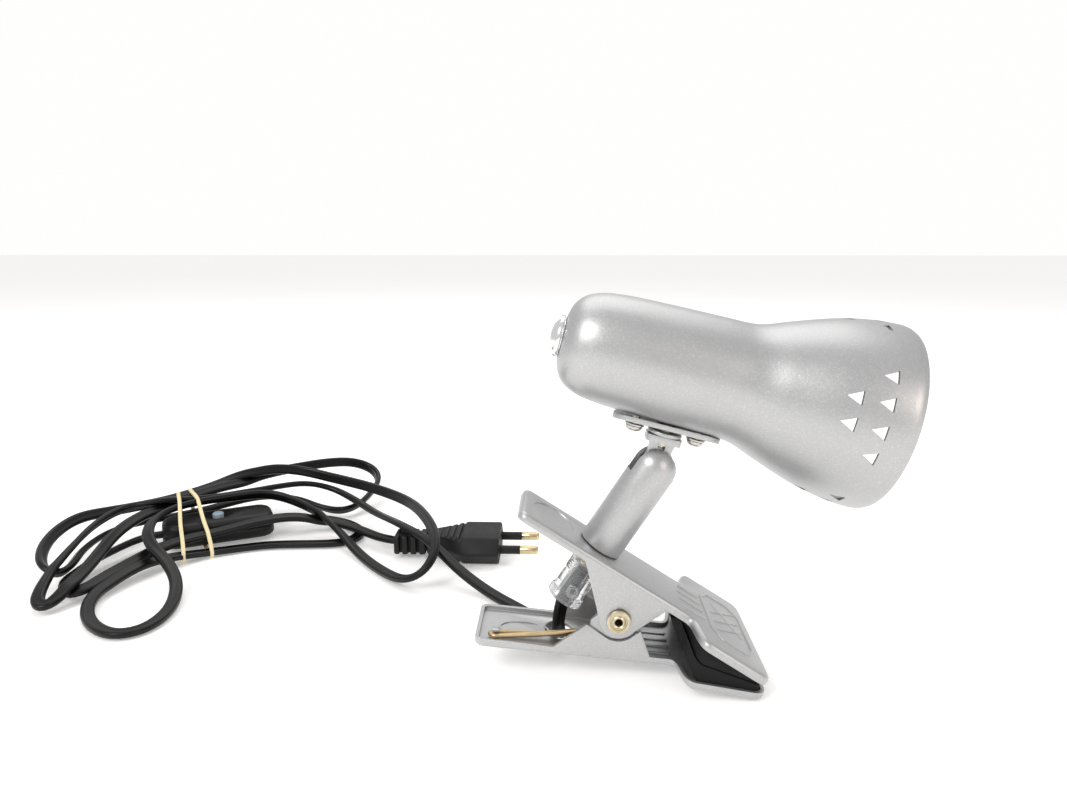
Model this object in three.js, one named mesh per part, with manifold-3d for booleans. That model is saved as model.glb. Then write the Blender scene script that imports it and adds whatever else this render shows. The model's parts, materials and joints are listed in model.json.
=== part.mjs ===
// Clip-on reading lamp: a sprung clamp, a tilting and swivelling head with a vented metal shade,
// a small screw lampholder, and a flat two-core lead with an inline switch and a flat two-pin plug.
// Millimetres, +Z up. +X is the way the jaws and the shade open, and the lamp is symmetric about Y = 0.
import * as THREE from 'three';
import { mergeVertices } from 'three/addons/utils/BufferGeometryUtils.js';
import Module from 'manifold-3d';

const wasm = await Module();
wasm.setup();
const { Manifold, Mesh } = wasm;

// ---------- driving dimensions ----------
const deg = THREE.MathUtils.degToRad;
const GAP = 0.3; // running gap between touching pieces
const SHEET = 1.4; // pressed steel of the two clip arms

const PIVOT = [-23.215, 0, 22.348]; // clip hinge axis, along Y
const LOWER_PITCH = deg(5.4); // nose-down lean of the lower arm on the table
const UPPER_PITCH = deg(32.5); // nose-down lean of the upper arm
const JAW_BEND = deg(4); // the lower jaw bends down from its arm
const ARM_HALF = 14.5; // half width of the arms
const JAW_HALF = 28.5; // half width of the jaws
const REAR_U = -50.5; // rear end of both arms, from the pivot
const TIP_U = 51.3; // front end of both jaws
const FLOOR_V = -15.7; // underside of the lower arm, from the pivot
const TOP_V = 15.6; // top face of the upper arm, from the pivot
const RIM = 3.1; // depth of the folded rims
const EAR_R = 6.6; // round end of the upper ears
const EAR_OUT = [13.2, 14.6]; // upper ears, from the middle plane
const EAR_IN = [11.5, 12.9]; // lower ears
const RIVET_R = 3;
const RIVET_HEAD_R = 4.4;
const RIVET_BORE_R = 1.4;

const TUBE_U = -17.5; // the arm tube's axis on the upper arm
const TUBE_R = 8.15;
const TUBE_WALL = 1;
const TILT_V = 51; // height of the tilt axis over the pivot, along the tube
const SLOT_HALF = 3.65; // slot in the tube's dome
const TONGUE_HALF_THICK = 2.3;
const TONGUE_HALF_WIDE = 5.2;
const PIN_R = 2;

const HEAD_PITCH = deg(14.2); // nose-down lean of the shade
const NECK_S = 44.6; // the neck's place along the shade, from its rear
const HEAD_RISE = 37.3; // shade axis over the tilt axis
const PLATE_R = 21.25; // inside of the saddle plate
const PLATE_THICK = 1.6;
const SCREW_STEP = 11.2; // plate screws, each way from the neck
const SHADE_WALL = 1;
const VENT_TURN = 82.5; // middle of the first group of vents, from the top towards -Y
const VENT_STEP = 16.1;

// ---------- helpers ----------
const V2 = (x, y) => new THREE.Vector2(x, y);
const V3 = (p) => new THREE.Vector3(...p);
const shapeOf = (points) => new THREE.Shape(points.map(([x, y]) => V2(x, y)));

/** A closed solid from a closed three.js geometry, whichever way its faces point. */
function solid(geometry) {
  const plain = geometry.clone();
  plain.deleteAttribute('normal');
  plain.deleteAttribute('uv');
  const merged = mergeVertices(plain, 1e-4);
  const positions = merged.attributes.position.array;
  const corner = (i) => new THREE.Vector3().fromArray(positions, 3 * i);
  const triangles = [];
  let volume = 0;
  for (let i = 0; i < merged.index.count; i += 3) {
    const [a, b, c] = [0, 1, 2].map((k) => merged.index.getX(i + k));
    if (a === b || b === c || a === c) continue;
    triangles.push([a, b, c]);
    volume += corner(a).dot(corner(b).cross(corner(c)));
  }
  const ordered = volume < 0 ? triangles.map(([a, b, c]) => [a, c, b]) : triangles;
  return new Manifold(new Mesh({
    numProp: 3,
    vertProperties: new Float32Array(positions),
    triVerts: new Uint32Array(ordered.flat()),
  }));
}

const join = (...solids) => solids.reduce((a, b) => a.add(b));
const cut = (first, ...rest) => rest.reduce((a, b) => a.subtract(b), first);

/** Side outline in X and Z, extruded along Y from low to high. */
function side(points, low, high) {
  const g = new THREE.ExtrudeGeometry(shapeOf(points), { depth: high - low, bevelEnabled: false });
  return solid(g.rotateX(Math.PI / 2).translate(0, high, 0));
}

/** The same side outline on both sides of the middle plane. */
const sides = (points, [low, high]) => join(side(points, low, high), side(points, -high, -low));

/** Plan outline in X and Y, extruded up from low to high. */
function plan(shape, low, high, curveSegments = 6) {
  const depth = high - low;
  const g = new THREE.ExtrudeGeometry(shape, { depth, bevelEnabled: false, curveSegments });
  return solid(g.translate(0, 0, low));
}

/** A box from its low and high corners. */
function box([x0, y0, z0], [x1, y1, z1]) {
  const g = new THREE.BoxGeometry(x1 - x0, y1 - y0, z1 - z0);
  return solid(g.translate((x0 + x1) / 2, (y0 + y1) / 2, (z0 + z1) / 2));
}

/** A turned piece about Z, from [radius, height] points that start and end on the axis or close. */
function turned(points, segments = 24) {
  const closed = points[0][0] > 0 ? [...points, points[0]] : points;
  return solid(new THREE.LatheGeometry(closed.map(([r, h]) => V2(r, h)), segments).rotateX(Math.PI / 2));
}

/** A round bar about Z. */
const bar = (r, low, high, segments = 20) => turned([[0, low], [r, low], [r, high], [0, high]], segments);
/** A hollow round bar about Z. */
const ring = (inner, outer, low, high, segments = 20) =>
  turned([[inner, low], [outer, low], [outer, high], [inner, high]], segments);
const alongX = (s) => s.rotate([0, 90, 0]);
const alongY = (s) => s.rotate([90, 0, 0]);

/** A rounded rectangle in X and Y. */
function roundedShape(x0, x1, half, r) {
  const s = new THREE.Shape();
  s.moveTo(x0 + r, -half);
  s.lineTo(x1 - r, -half);
  s.absarc(x1 - r, -half + r, r, -Math.PI / 2, 0);
  s.absarc(x1 - r, half - r, r, 0, Math.PI / 2);
  s.absarc(x0 + r, half - r, r, Math.PI / 2, Math.PI);
  s.absarc(x0 + r, -half + r, r, Math.PI, 1.5 * Math.PI);
  return s;
}

/** A tube along a smooth open route, with a round section of few sides. */
function tube(points, r, steps, sidesOfSection = 8) {
  const section = new THREE.Shape();
  for (let i = 0; i <= sidesOfSection; i += 1) {
    const a = (2 * Math.PI * i) / sidesOfSection;
    if (i === 0) section.moveTo(r, 0);
    else section.lineTo(r * Math.cos(a), r * Math.sin(a));
  }
  const extrudePath = new THREE.CatmullRomCurve3(points.map(V3), false, 'centripetal');
  return solid(new THREE.ExtrudeGeometry(section, { steps, extrudePath, bevelEnabled: false }));
}

// ---------- finishes ----------
const finish = (color, roughness, metalness, extra = {}) =>
  () => new THREE.MeshStandardMaterial({ color, roughness, metalness, ...extra });
const silver = finish(0xb9bbbe, 0.38, 0.8);
const rubber = finish(0x1b1b1c, 0.85, 0);
const zinc = finish(0xb8a67c, 0.35, 0.9);
const chrome = finish(0xd8d8da, 0.15, 1);
const clear = finish(0xe8ecec, 0.15, 0, { transparent: true, opacity: 0.45 });
const black = finish(0x191a1c, 0.5, 0);
const ceramic = finish(0xe6e0d2, 0.5, 0);
const brass = finish(0xc9a45a, 0.3, 0.9);
const cream = finish(0xe6d79a, 0.7, 0);
const button = finish(0x9fb0c2, 0.4, 0);

/** Puts a named mesh of this solid in a group. */
function part(group, name, body, material) {
  const { vertProperties, triVerts } = body.getMesh();
  const geometry = new THREE.BufferGeometry();
  geometry.setAttribute('position', new THREE.BufferAttribute(new Float32Array(vertProperties), 3));
  geometry.setIndex(new THREE.BufferAttribute(new Uint32Array(triVerts), 1));
  geometry.computeVertexNormals();
  const mesh = new THREE.Mesh(geometry, material());
  mesh.name = name;
  group.add(mesh);
  return mesh;
}

/** A group that leans nose-down by pitch about Y. */
function leaning(parent, position, pitch) {
  const g = new THREE.Group();
  g.position.set(...position);
  g.rotation.y = pitch;
  parent.add(g);
  return g;
}

// ---------- the clip ----------
/** Plan outline shared by both arms and jaws, drawn in by an inset. */
function clipOutline(inset) {
  const w = ARM_HALF - inset;
  const j = JAW_HALF - inset;
  const rear = REAR_U + inset;
  const tip = TIP_U - inset;
  const [rearR, tipR] = [3.4 - inset, 4.6 - inset];
  const [waist, shoulder] = [19.5 + inset, 27 + inset];
  const s = new THREE.Shape();
  s.moveTo(rear + rearR, -w);
  s.lineTo(waist, -w);
  s.bezierCurveTo(waist + 4.5, -w, waist + 1.5, -j, shoulder, -j);
  s.lineTo(tip - tipR, -j);
  s.absarc(tip - tipR, -j + tipR, tipR, -Math.PI / 2, 0);
  s.absarc(tip - tipR, j - tipR, tipR, 0, Math.PI / 2);
  s.lineTo(shoulder, j);
  s.bezierCurveTo(waist + 1.5, j, waist + 4.5, w, waist, w);
  s.lineTo(rear + rearR, w);
  s.absarc(rear + rearR, w - rearR, rearR, Math.PI / 2, Math.PI);
  s.absarc(rear + rearR, -w + rearR, rearR, Math.PI, 1.5 * Math.PI);
  return s;
}

/** A pressed tray: a sheet with a rim folded up or down from it. */
function tray(sheetLow, sheetHigh, rimLow, rimHigh) {
  const up = rimHigh > sheetHigh;
  const body = plan(clipOutline(0), Math.min(sheetLow, rimLow), Math.max(sheetHigh, rimHigh));
  const hollow = up
    ? plan(clipOutline(SHEET), sheetHigh, rimHigh + 1)
    : plan(clipOutline(SHEET), rimLow - 1, sheetLow);
  return cut(body, hollow);
}

/** Points round the pivot from one angle to another, in degrees from +X. */
function arc(r, from, to, steps, [x, z] = [0, 0]) {
  return Array.from({ length: steps + 1 }, (_, i) => {
    const a = deg(from + ((to - from) * i) / steps);
    return [x + r * Math.cos(a), z + r * Math.sin(a)];
  });
}

function lowerArm() {
  const floorTop = FLOOR_V + SHEET;
  const rimTop = FLOOR_V + RIM;
  const bendU = 24;
  const whole = tray(FLOOR_V, floorTop, FLOOR_V, rimTop);
  const arm = whole.trimByPlane([-1, 0, 0], -bendU);
  const jaw = whole.trimByPlane([1, 0, 0], bendU - 0.25)
    .translate([-bendU, 0, -FLOOR_V])
    .rotate([0, THREE.MathUtils.radToDeg(JAW_BEND), 0])
    .translate([bendU, 0, FLOOR_V]);
  const cheek = [[-23, floorTop], [-22, rimTop], [-11, -2.6], [1.5, -8.7], [8.2, -3.1], [12.6, rimTop],
    [12.8, floorTop]];
  const outer = sides(cheek, [EAR_IN[1] - 0.1, ARM_HALF]);
  const ear = [[-14, floorTop], [-9.6, -1.4], ...arc(6.2, 150, -20, 12), [8.6, -6], [9.8, floorTop]];
  const inner = sides(ear, EAR_IN);
  const bore = alongY(bar(RIVET_R + 0.1, -20, 20));
  const cordHole = plan(roundedShape(-25.2, -14.6, 7, 4.6), FLOOR_V - 1, floorTop + 1)
    .translate([0, 2.2, 0]);
  return cut(join(arm, jaw, outer, inner), bore, cordHole);
}

function upperArm() {
  const sheet = TOP_V - SHEET;
  const ear = [[-23.5, sheet + 0.2], [-22.2, TOP_V - RIM], ...arc(EAR_R, 222, 333, 10),
    [12, TOP_V - RIM], [13.2, sheet + 0.2]];
  const body = join(tray(sheet, TOP_V, TOP_V - RIM, TOP_V), sides(ear, EAR_OUT));
  const bore = alongY(bar(RIVET_R + 0.1, -20, 20));
  const nippleHole = bar(5.3, 0, 30).translate([TUBE_U, 0, 0]);
  return cut(body, bore, nippleHole);
}

// the line where the two rubber pads meet, in the lower arm's frame, from the throat to the tip
const PAD_CLEARANCE = 0.2; // each pad, from the meeting line
const MEET = [[22.1, 2.6], [23.2, 0.2], [26.4, -5.3], [28.5, -6.85], [50.2, -12.4]];

/** The meeting line in the upper arm's frame. */
function meetUpper() {
  const turn = UPPER_PITCH - LOWER_PITCH;
  const [c, s] = [Math.cos(turn), Math.sin(turn)];
  return MEET.map(([u, v]) => [u * c - v * s, u * s + v * c]);
}

function lowerPad() {
  const face = MEET.map(([u, v]) => [u - PAD_CLEARANCE, v - PAD_CLEARANCE]);
  const outline = [[18.6, 2.5], [19.3, 0.3], [22.9, -7], [26.4, -11.8], [28.2, -14.4],
    [50, -15.8], ...face.reverse()];
  const inset = plan(clipOutline(SHEET + GAP), -40, 10);
  return side(outline, -JAW_HALF, JAW_HALF).intersect(inset);
}

function upperPad() {
  const top = TOP_V - SHEET - GAP;
  const face = meetUpper().map(([u, v]) => [u + PAD_CLEARANCE / 2, v + PAD_CLEARANCE]);
  const outline = [[19.4, top], ...face, [50.1, top]];
  const inset = plan(clipOutline(SHEET + GAP), -10, 40);
  return side(outline, -JAW_HALF, JAW_HALF).intersect(inset);
}

/** Hollow rivet of the clip hinge, with a rolled flange at each end. */
function pivotRivet() {
  const [inner, outer] = [EAR_OUT[1] + GAP, EAR_OUT[1] + GAP + 1];
  return alongY(turned([[RIVET_BORE_R, -outer], [RIVET_HEAD_R, -outer], [RIVET_HEAD_R, -inner],
    [RIVET_R, -inner], [RIVET_R, inner], [RIVET_HEAD_R, inner], [RIVET_HEAD_R, outer],
    [RIVET_BORE_R, outer]]));
}

/** Double torsion spring on the near side of the rivet: two coils, a narrow loop hooked on the lower
 *  arm, and two ends under the upper arm. */
function torsionSpring() {
  const [wire, coil, turns, perTurn] = [1, 4.9, 2.25, 12];
  const lowest = 270; // each leg runs to the rear from the lowest point of its coil
  const half = (rearY, legY, endY, middle) => {
    const leg = [[-44.2, rearY, -12.9], [-42, rearY, -12.8], ...middle];
    const coils = Array.from({ length: Math.round(turns * perTurn) + 1 }, (_, i) => {
      const a = deg(lowest + (360 * i) / perTurn);
      const y = legY + ((endY - legY) * i) / (turns * perTurn);
      return [coil * Math.cos(a), y, coil * Math.sin(a)];
    });
    return [...leg, ...coils, [5.2, endY, 4.5], [3.9, endY, 11.6], [0.6, endY, 13.9]];
  };
  const [steps, sectionSides] = [112, 6];
  const outerLeg = [[-24, -10.2, -9.6]];
  const innerLeg = [[-26, -5.6, -12.4], [-11, -3.8, -11.4], [-5.5, -3.2, -8.6]]; // low, under the cord grip
  const route = [...half(-10.2, -10.2, -5.3, outerLeg).reverse(), [-45.2, -8.6, -12.9],
    ...half(-7, -3.1, 1.8, innerLeg)];
  return tube(route, wire, steps, sectionSides);
}

// ---------- the tube on the upper arm ----------
function armTube() {
  const solidFrom = TILT_V - 9;
  const quarter = arc(TUBE_R, 0, 90, 7, [0, TILT_V]).slice(0, -1);
  const outside = [[TUBE_R - 0.5, TOP_V + GAP], [TUBE_R, TOP_V + GAP + 0.5], [TUBE_R, TILT_V - 2],
    ...quarter, [0, TILT_V + TUBE_R]];
  const bore = TUBE_R - TUBE_WALL;
  const shell = turned([...outside, [0, solidFrom], [bore, solidFrom], [bore, TOP_V + GAP]], 36);
  const slot = join(
    side([[-12, TILT_V - 4], [0, TILT_V - 6], [12, TILT_V + 2.5], [12, TILT_V + 12], [-12, TILT_V + 12]],
      -SLOT_HALF, SLOT_HALF),
    alongY(bar(7.5, -SLOT_HALF, SLOT_HALF)).translate([0, 0, TILT_V]),
  );
  const pinHole = alongY(bar(PIN_R + 0.05, -9, 5.9, 24)).translate([0, 0, TILT_V]);
  const wireHole = bar(2, TILT_V - 12, TILT_V, 16).translate([-3.4, 0, 0]);
  return cut(shell, slot, pinHole, wireHole);
}

const tubeInsert = () => ring(5.2, TUBE_R - TUBE_WALL - 0.1, TOP_V + GAP, TOP_V + 9);
const threadedNipple = () => ring(3.6, 5, 7.2, TOP_V + 8);
const tiltPin = () => alongY(bar(PIN_R, -7.4, 5.7, 24)).translate([0, 0, TILT_V]);
const frictionWasher = (sign) => {
  const low = sign > 0 ? -SLOT_HALF + 0.1 : TONGUE_HALF_THICK + 0.1;
  return alongY(ring(PIN_R + 0.1, 5.8, low, low + 1.05)).translate([0, 0, TILT_V]);
};

/** Clear plastic cord grip under the upper arm: a threaded body over a flanged foot. */
function cordGrip() {
  const top = TOP_V - SHEET - GAP;
  const threads = [];
  for (let v = 0; v < 3; v += 1) {
    const h = 12.2 - v * 3.2;
    threads.push([6.3, h], [6.3, h - 1.5], [5.8, h - 1.7], [5.8, h - 3]);
  }
  const outside = [[5.3, top], [5.8, top], ...threads, [6.1, 0], [6.1, -5.8], [6.8, -6.1], [6.8, -8.7]];
  const bore = [[3.3, -8.7], [3.3, 6.6], [5.3, 6.6]];
  const body = turned([...outside, ...bore], 24);
  const screwHole = alongY(bar(1.35, 0, 8, 16)).translate([0, 0, -2.6]);
  return cut(body, screwHole).translate([TUBE_U, 0, 0]);
}

/** Clear clamp screw in the side of the cord grip. */
function cordGripScrew() {
  const body = alongY(turned([[0, 3.6], [1.25, 3.6], [1.25, 6.4], [2.4, 6.4], [2.4, 8.2], [0, 8.2]], 20));
  const driverSlot = box([-0.4, -9, -3], [0.4, -7.5, 3]);
  return cut(body, driverSlot).translate([TUBE_U, 0, -2.6]);
}

/** The lead's inner run inside the tube, up to the wire hole under the tilt joint. */
const armWire = () =>
  tube([[0, 0, 14], [0, 0, 22], [-1, 0, 30], [-3, 0, 36], [-3.4, 0, TILT_V - 6.5]], 1.7, 12)
    .translate([TUBE_U, 0, 0]);

// ---------- the neck ----------
/** T-shaped swivel tongue, measured from the tilt axis, upright. */
function tiltTongue() {
  const w = TONGUE_HALF_WIDE;
  const [shoulder, top] = [HEAD_RISE - 27.2, HEAD_RISE - 24.9];
  const blade = side([[w, shoulder], [w, 0], ...arc(w, 0, -180, 14).slice(1), [-w, shoulder]],
    -TONGUE_HALF_THICK, TONGUE_HALF_THICK);
  const head = plan(roundedShape(-6.3, 6.3, 4.4, 2), shoulder - 0.1, top);
  const pinBore = alongY(bar(PIN_R + 0.08, -6, 6));
  const rivetBore = bar(2.6, top - 5.2, top + 1);
  const wireWay = alongY(bar(1.4, 0, 6, 12)).translate([0, 0, top - 4.2]);
  return cut(join(blade, head), pinBore, rivetBore, wireWay);
}

const swivelCollar = () => ring(2.8, 6.2, HEAD_RISE - 24.6, HEAD_RISE - 23.2);

/** Hollow rivet that holds the head's plate on the tongue and lets it turn. */
const swivelRivet = () => turned([[1.9, HEAD_RISE - 28.6], [2.5, HEAD_RISE - 28.6], [2.5, HEAD_RISE - 20.7],
  [4.1, HEAD_RISE - 20.7], [4.1, HEAD_RISE - 19.9], [1.9, HEAD_RISE - 19.9]]);

// ---------- the head, measured from the shade's rear along its axis ----------
const SHADE = [[0.7, 6.6], [1.2, 9.6], [2.6, 13], [5.6, 16.1], [10.5, 18.2], [18, 19.4], [34, 20.15],
  [54, 20.65], [64, 20.95], [68.5, 21.9], [76, 24.7], [92, 30], [102, 32.1], [109, 32.85], [113.5, 32.85],
  [115.3, 32]];

/** The shade's outer radius at a place along its axis. */
function shadeRadius(s) {
  const i = Math.max(1, SHADE.findIndex(([at]) => at >= s));
  const [[s0, r0], [s1, r1]] = [SHADE[i - 1], SHADE[i]];
  return r0 + ((r1 - r0) * (s - s0)) / (s1 - s0);
}

function headShade() {
  const n = 15;
  const outer = new THREE.SplineCurve(SHADE.map(([s, r]) => V2(r, s))).getPoints(n);
  const inner = outer.map((p, i) => {
    const [a, b] = [outer[Math.max(0, i - 1)], outer[Math.min(n, i + 1)]];
    const t = b.clone().sub(a).normalize();
    return V2(p.x - t.y * SHADE_WALL, p.y + t.x * SHADE_WALL);
  });
  const profile = [...outer, ...inner.reverse()].map((p) => [p.x, p.y]);
  const shell = alongX(turned(profile, 40));
  const vent = (s, angle) => {
    const g = new THREE.ExtrudeGeometry(shapeOf([[s - 2.5, 0], [s + 2.3, -2.4], [s + 2.3, 2.4]]),
      { depth: 24, bevelEnabled: false });
    return solid(g.translate(0, 0, 20)).rotate([angle, 0, 0]);
  };
  const vents = [];
  for (let group = 0; group < 4; group += 1) {
    const turn = VENT_TURN + 90 * group;
    for (const k of [-1.5, -0.5, 0.5, 1.5]) vents.push(vent(103, turn + k * VENT_STEP));
    for (const k of [-0.5, 0.5]) vents.push(vent(93.5, turn + k * VENT_STEP));
  }
  const down = (r, s) => bar(r, -30, -10, 20).translate([s, 0, 0]);
  const screwHoles = [-SCREW_STEP, SCREW_STEP].map((step) => down(1.7, NECK_S + step));
  return cut(shell, ...vents, down(4.7, NECK_S), ...screwHoles);
}

/** Chromed domed cap in the shade's rear hole: a flange, a shallow dome and a snap collar. */
const rearCap = () => alongX(turned([[0, -3.4], [2.4, -3.2], [4.4, -2.6], [5.8, -1.6], [6.4, -0.6],
  [7.6, -0.4], [7.6, 0.4], [6.1, 0.4], [6.1, 3.2], [5.3, 3.2], [5.3, 0.4], [4.2, -0.9], [0, -1.8]], 28));

/** Saddle plate under the shade. */
function headPlate() {
  const saddle = alongX(ring(PLATE_R, PLATE_R + PLATE_THICK, 20, 70, 60));
  const blank = plan(roundedShape(NECK_S - 19.5, NECK_S + 19.5, 7, 6.9), -30, -10);
  const hole = (r, s) => bar(r, -30, -10).translate([s, 0, 0]);
  return cut(saddle.intersect(blank), hole(2.6, NECK_S), hole(1.65, NECK_S - SCREW_STEP),
    hole(1.65, NECK_S + SCREW_STEP));
}

const plateFace = -(PLATE_R + PLATE_THICK);

/** Pan-head screw through the plate and the shade into the holder bracket. */
function plateScrew(s) {
  const head = plateFace - 1.2;
  const body = turned([[0, head - 1.9], [1.9, head - 1.8], [2.8, head - 1.1], [3, head], [1.5, head],
    [1.5, -15.5], [0, -15.5]]);
  const cross = join(box([-1.6, -0.3, head - 3], [1.6, 0.3, head - 1.1]),
    box([-0.3, -1.6, head - 3], [0.3, 1.6, head - 1.1]));
  return cut(body, cross).translate([s, 0, 0]);
}

const plateWasher = (s) => ring(1.6, 3.5, plateFace - 0.95, plateFace - GAP, 24).translate([s, 0, 0]);

/** Bracket inside the shade: a strip on two bosses, and a tab that carries the lampholder. */
function holderBracket() {
  const strip = plan(roundedShape(19.6, 64, 5, 2), -17, -15.6);
  const tab = alongX(bar(8.6, 19.6, 21));
  const web = box([19.6, -5, -17], [21, 5, -5]);
  const boss = (s) => bar(3.2, -shadeRadius(s) + SHADE_WALL + GAP + 0.1, -15.7, 20).translate([s, 0, 0]);
  const thread = (s) => bar(1.55, -25, -10, 20).translate([s, 0, 0]);
  const nippleHole = alongX(bar(4.2, 15, 25));
  const wireHole = bar(2.6, -25, -10, 20).translate([NECK_S, 0, 0]);
  const [rear, front] = [NECK_S - SCREW_STEP, NECK_S + SCREW_STEP];
  const whole = join(strip, tab, web, boss(rear), boss(front));
  return cut(whole, thread(rear), thread(front), nippleHole, wireHole);
}

const holderNipple = () => alongX(ring(2.9, 4, 14.6, 25.6));
const holderNut = () => alongX(cut(bar(7, 16.2, 19.3, 6), bar(4.1, 16, 20)));

/** Two-part moulded lampholder: cap and body in one turned shell, open at the front. */
const lampholderBody = () => alongX(turned([[4.1, 21.3], [9.4, 21.3], [12.2, 24], [12.4, 34], [12.8, 34.4],
  [12.8, 36.4], [12.4, 36.8], [12, 61], [9, 61], [9, 32], [6.8, 30.4], [4.1, 30.4]]));
const lampholderCore = () => alongX(turned([[1.5, 33], [8.7, 33], [8.7, 37.4], [1.5, 37.4]]));
const screwShell = () => alongX(ring(7.2, 7.8, 37.8, 57, 24));
const centreContact = () => alongX(turned([[0, 33.6], [1.2, 33.6], [1.2, 37.7], [2.6, 38], [2.2, 39.2],
  [0, 39.4]], 12));

/** The inner wires from the neck to the rear of the lampholder. */
const headWire = () => tube([[NECK_S, 0, -19.4], [NECK_S, 0, -16], [NECK_S - 3, 0, -14.1],
  [NECK_S - 14, 3, -14.1], [24, 9.8, -9.5], [16, 10.6, -3], [12.4, 5, 0], [14.2, 0, 0], [22, 0, 0]],
1.25, 24, 6);

// ---------- cord, switch, plug ----------
const CORD_R = 2.3; // the flat lead as a round bar of the same section area, 5.6 by 3.2
// from the foot of the cord grip down through the oval hole in the lower arm
const RISER = [[-43, 0, 23.6], [-44, 0.4, 20], [-44.5, 1.1, 15], [-44.5, 2.6, 9.8], [-44.4, 5.2, 6.8]];
// free stretch from the clip to the bundle: under the arm, over the plug's neck, into the bundle
const LEAD = [[-44.5, 6.2, 6], [-46, 12, 3.8], [-50, 21, 3], [-59, 33, 3], [-75, 50, 3], [-88, 61, 5.5],
  [-97, 69, 9.5], [-106, 80, 14], [-116, 93, 16], [-127, 106, 15.4], [-138, 120, 12], [-147, 131, 10]];
// the wide loop that leaves the bundle, crosses over the lead and comes back along the table
const LOOP = [[-153, 151, 17], [-146, 143, 17.5], [-135, 133, 18.5], [-124, 120, 20.5], [-114, 103, 22],
  [-106, 84, 21], [-101.5, 68, 15], [-103, 59.5, 9], [-109, 57, 5], [-117, 61, 3], [-128, 72, 3],
  [-139, 87, 3], [-145, 95, 3]];
// from the plug's strain relief back to the bundle
const TAIL = [[-126.6, 98, 6.8], [-131, 101, 5.6], [-138, 108, 4], [-143.5, 114, 3]];

/** Outline of a flattened bundle of cord, smooth all round. */
function bundle(points, high) {
  const curve = new THREE.SplineCurve([...points, points[0]].map(([x, y]) => V2(x, y)));
  return plan(new THREE.Shape(curve.getPoints(40).slice(0, -1)), 0, high);
}

const SWITCH_AT = [-222.7, 114];
const SWITCH_TURN = 27.3; // degrees, the way the tied bundle runs
const SWITCH_HALF = [27, 11];
const SWITCH_FOOT = 1.7; // held off the table by the band under it
const SWITCH_TOP = 13.9;
const SWITCH_SCREW = 14; // the screw's place along the switch
const SWITCH_WALL = 1.6;
const inSwitch = (s) => s.rotate([0, 0, SWITCH_TURN]).translate([...SWITCH_AT, 0]);

/** The front folds of the bundle, from the band towards -Y. */
const cordHankFront = () => bundle([[-237.5, 79], [-224, 71], [-207, 52], [-203, 22], [-211, 5], [-228, 7],
  [-244, 20], [-262, 20], [-273, 27], [-279, 52], [-292, 78], [-289, 108], [-272, 119], [-255, 115],
  [-246, 98]], 17);

/** The back folds, with a well round the switch. */
function cordHankBack() {
  const body = bundle([[-217, 91], [-205, 98], [-172, 101], [-153, 102], [-147.5, 112], [-149, 124],
    [-158, 140], [-159, 168], [-154, 190], [-166, 201], [-186, 192], [-208, 172], [-221, 160], [-233, 140],
    [-234, 124], [-227, 107]], 18);
  const [a, b] = SWITCH_HALF;
  const well = inSwitch(plan(roundedShape(-a - 0.5, a + 0.5, b + 0.5, 7), -1, 30));
  return cut(body, well);
}

const BAND_AT = [-238, 101];
/** Rubber band, wound twice round the bundle, the turns crossing on the far side. */
function rubberBand() {
  const [halfWide, high, thick, wide, r, lean, slide] = [20.5, 20.5, 1.2, 1.6, 6, 5, 3];
  const turn = (angle) => {
    const outer = new THREE.Shape();
    const outline = (path, inset) => {
      const [w, h0, h1] = [halfWide - inset, inset, high - inset];
      const q = r - inset;
      path.moveTo(-w + q, h0);
      path.lineTo(w - q, h0);
      path.absarc(w - q, h0 + q, q, -Math.PI / 2, 0);
      path.absarc(w - q, h1 - q, q, 0, Math.PI / 2);
      path.absarc(-w + q, h1 - q, q, Math.PI / 2, Math.PI);
      path.absarc(-w + q, h0 + q, q, Math.PI, 1.5 * Math.PI);
      return path;
    };
    outline(outer, 0);
    outer.holes.push(outline(new THREE.Path(), thick));
    const g = new THREE.ExtrudeGeometry(outer, { depth: wide, bevelEnabled: false, curveSegments: 3 });
    return solid(g.rotateX(Math.PI / 2)).rotate([0, 0, angle]).translate([0, slide, 0]);
  };
  return join(turn(lean), turn(-lean)).rotate([0, 0, SWITCH_TURN - 90]).translate([...BAND_AT, 0]);
}

const switchOutline = (inset) => {
  const [a, b] = SWITCH_HALF.map((x) => x - inset);
  return roundedShape(-a, a, b, 7 - inset);
};
const SWITCH_SPLIT = 7.4;
const cordNotches = (r) => join(...[-1, 1].map((sign) =>
  alongX(bar(r, sign > 0 ? 20 : -30, sign > 0 ? 30 : -20, 16)).translate([0, 0, SWITCH_SPLIT])));

function switchBase() {
  const shell = cut(plan(switchOutline(0), SWITCH_FOOT, SWITCH_SPLIT),
    plan(switchOutline(SWITCH_WALL), SWITCH_FOOT + SWITCH_WALL, SWITCH_SPLIT + 1));
  const post = ring(1.2, 2.4, SWITCH_FOOT + 1, SWITCH_SPLIT, 16).translate([SWITCH_SCREW, 0, 0]);
  return inSwitch(cut(join(shell, post), cordNotches(CORD_R + 0.2),
    bar(1.2, 0, SWITCH_FOOT + 3, 16).translate([SWITCH_SCREW, 0, 0]),
    bar(2.4, 0, SWITCH_FOOT + 0.9, 16).translate([SWITCH_SCREW, 0, 0])));
}

function switchCover() {
  const low = SWITCH_SPLIT + GAP;
  const shell = cut(plan(switchOutline(0), low, SWITCH_TOP),
    plan(switchOutline(SWITCH_WALL), low - 1, SWITCH_TOP - SWITCH_WALL));
  return inSwitch(cut(shell, cordNotches(CORD_R + 0.2), bar(3.1, 0, 30, 24)));
}

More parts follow.
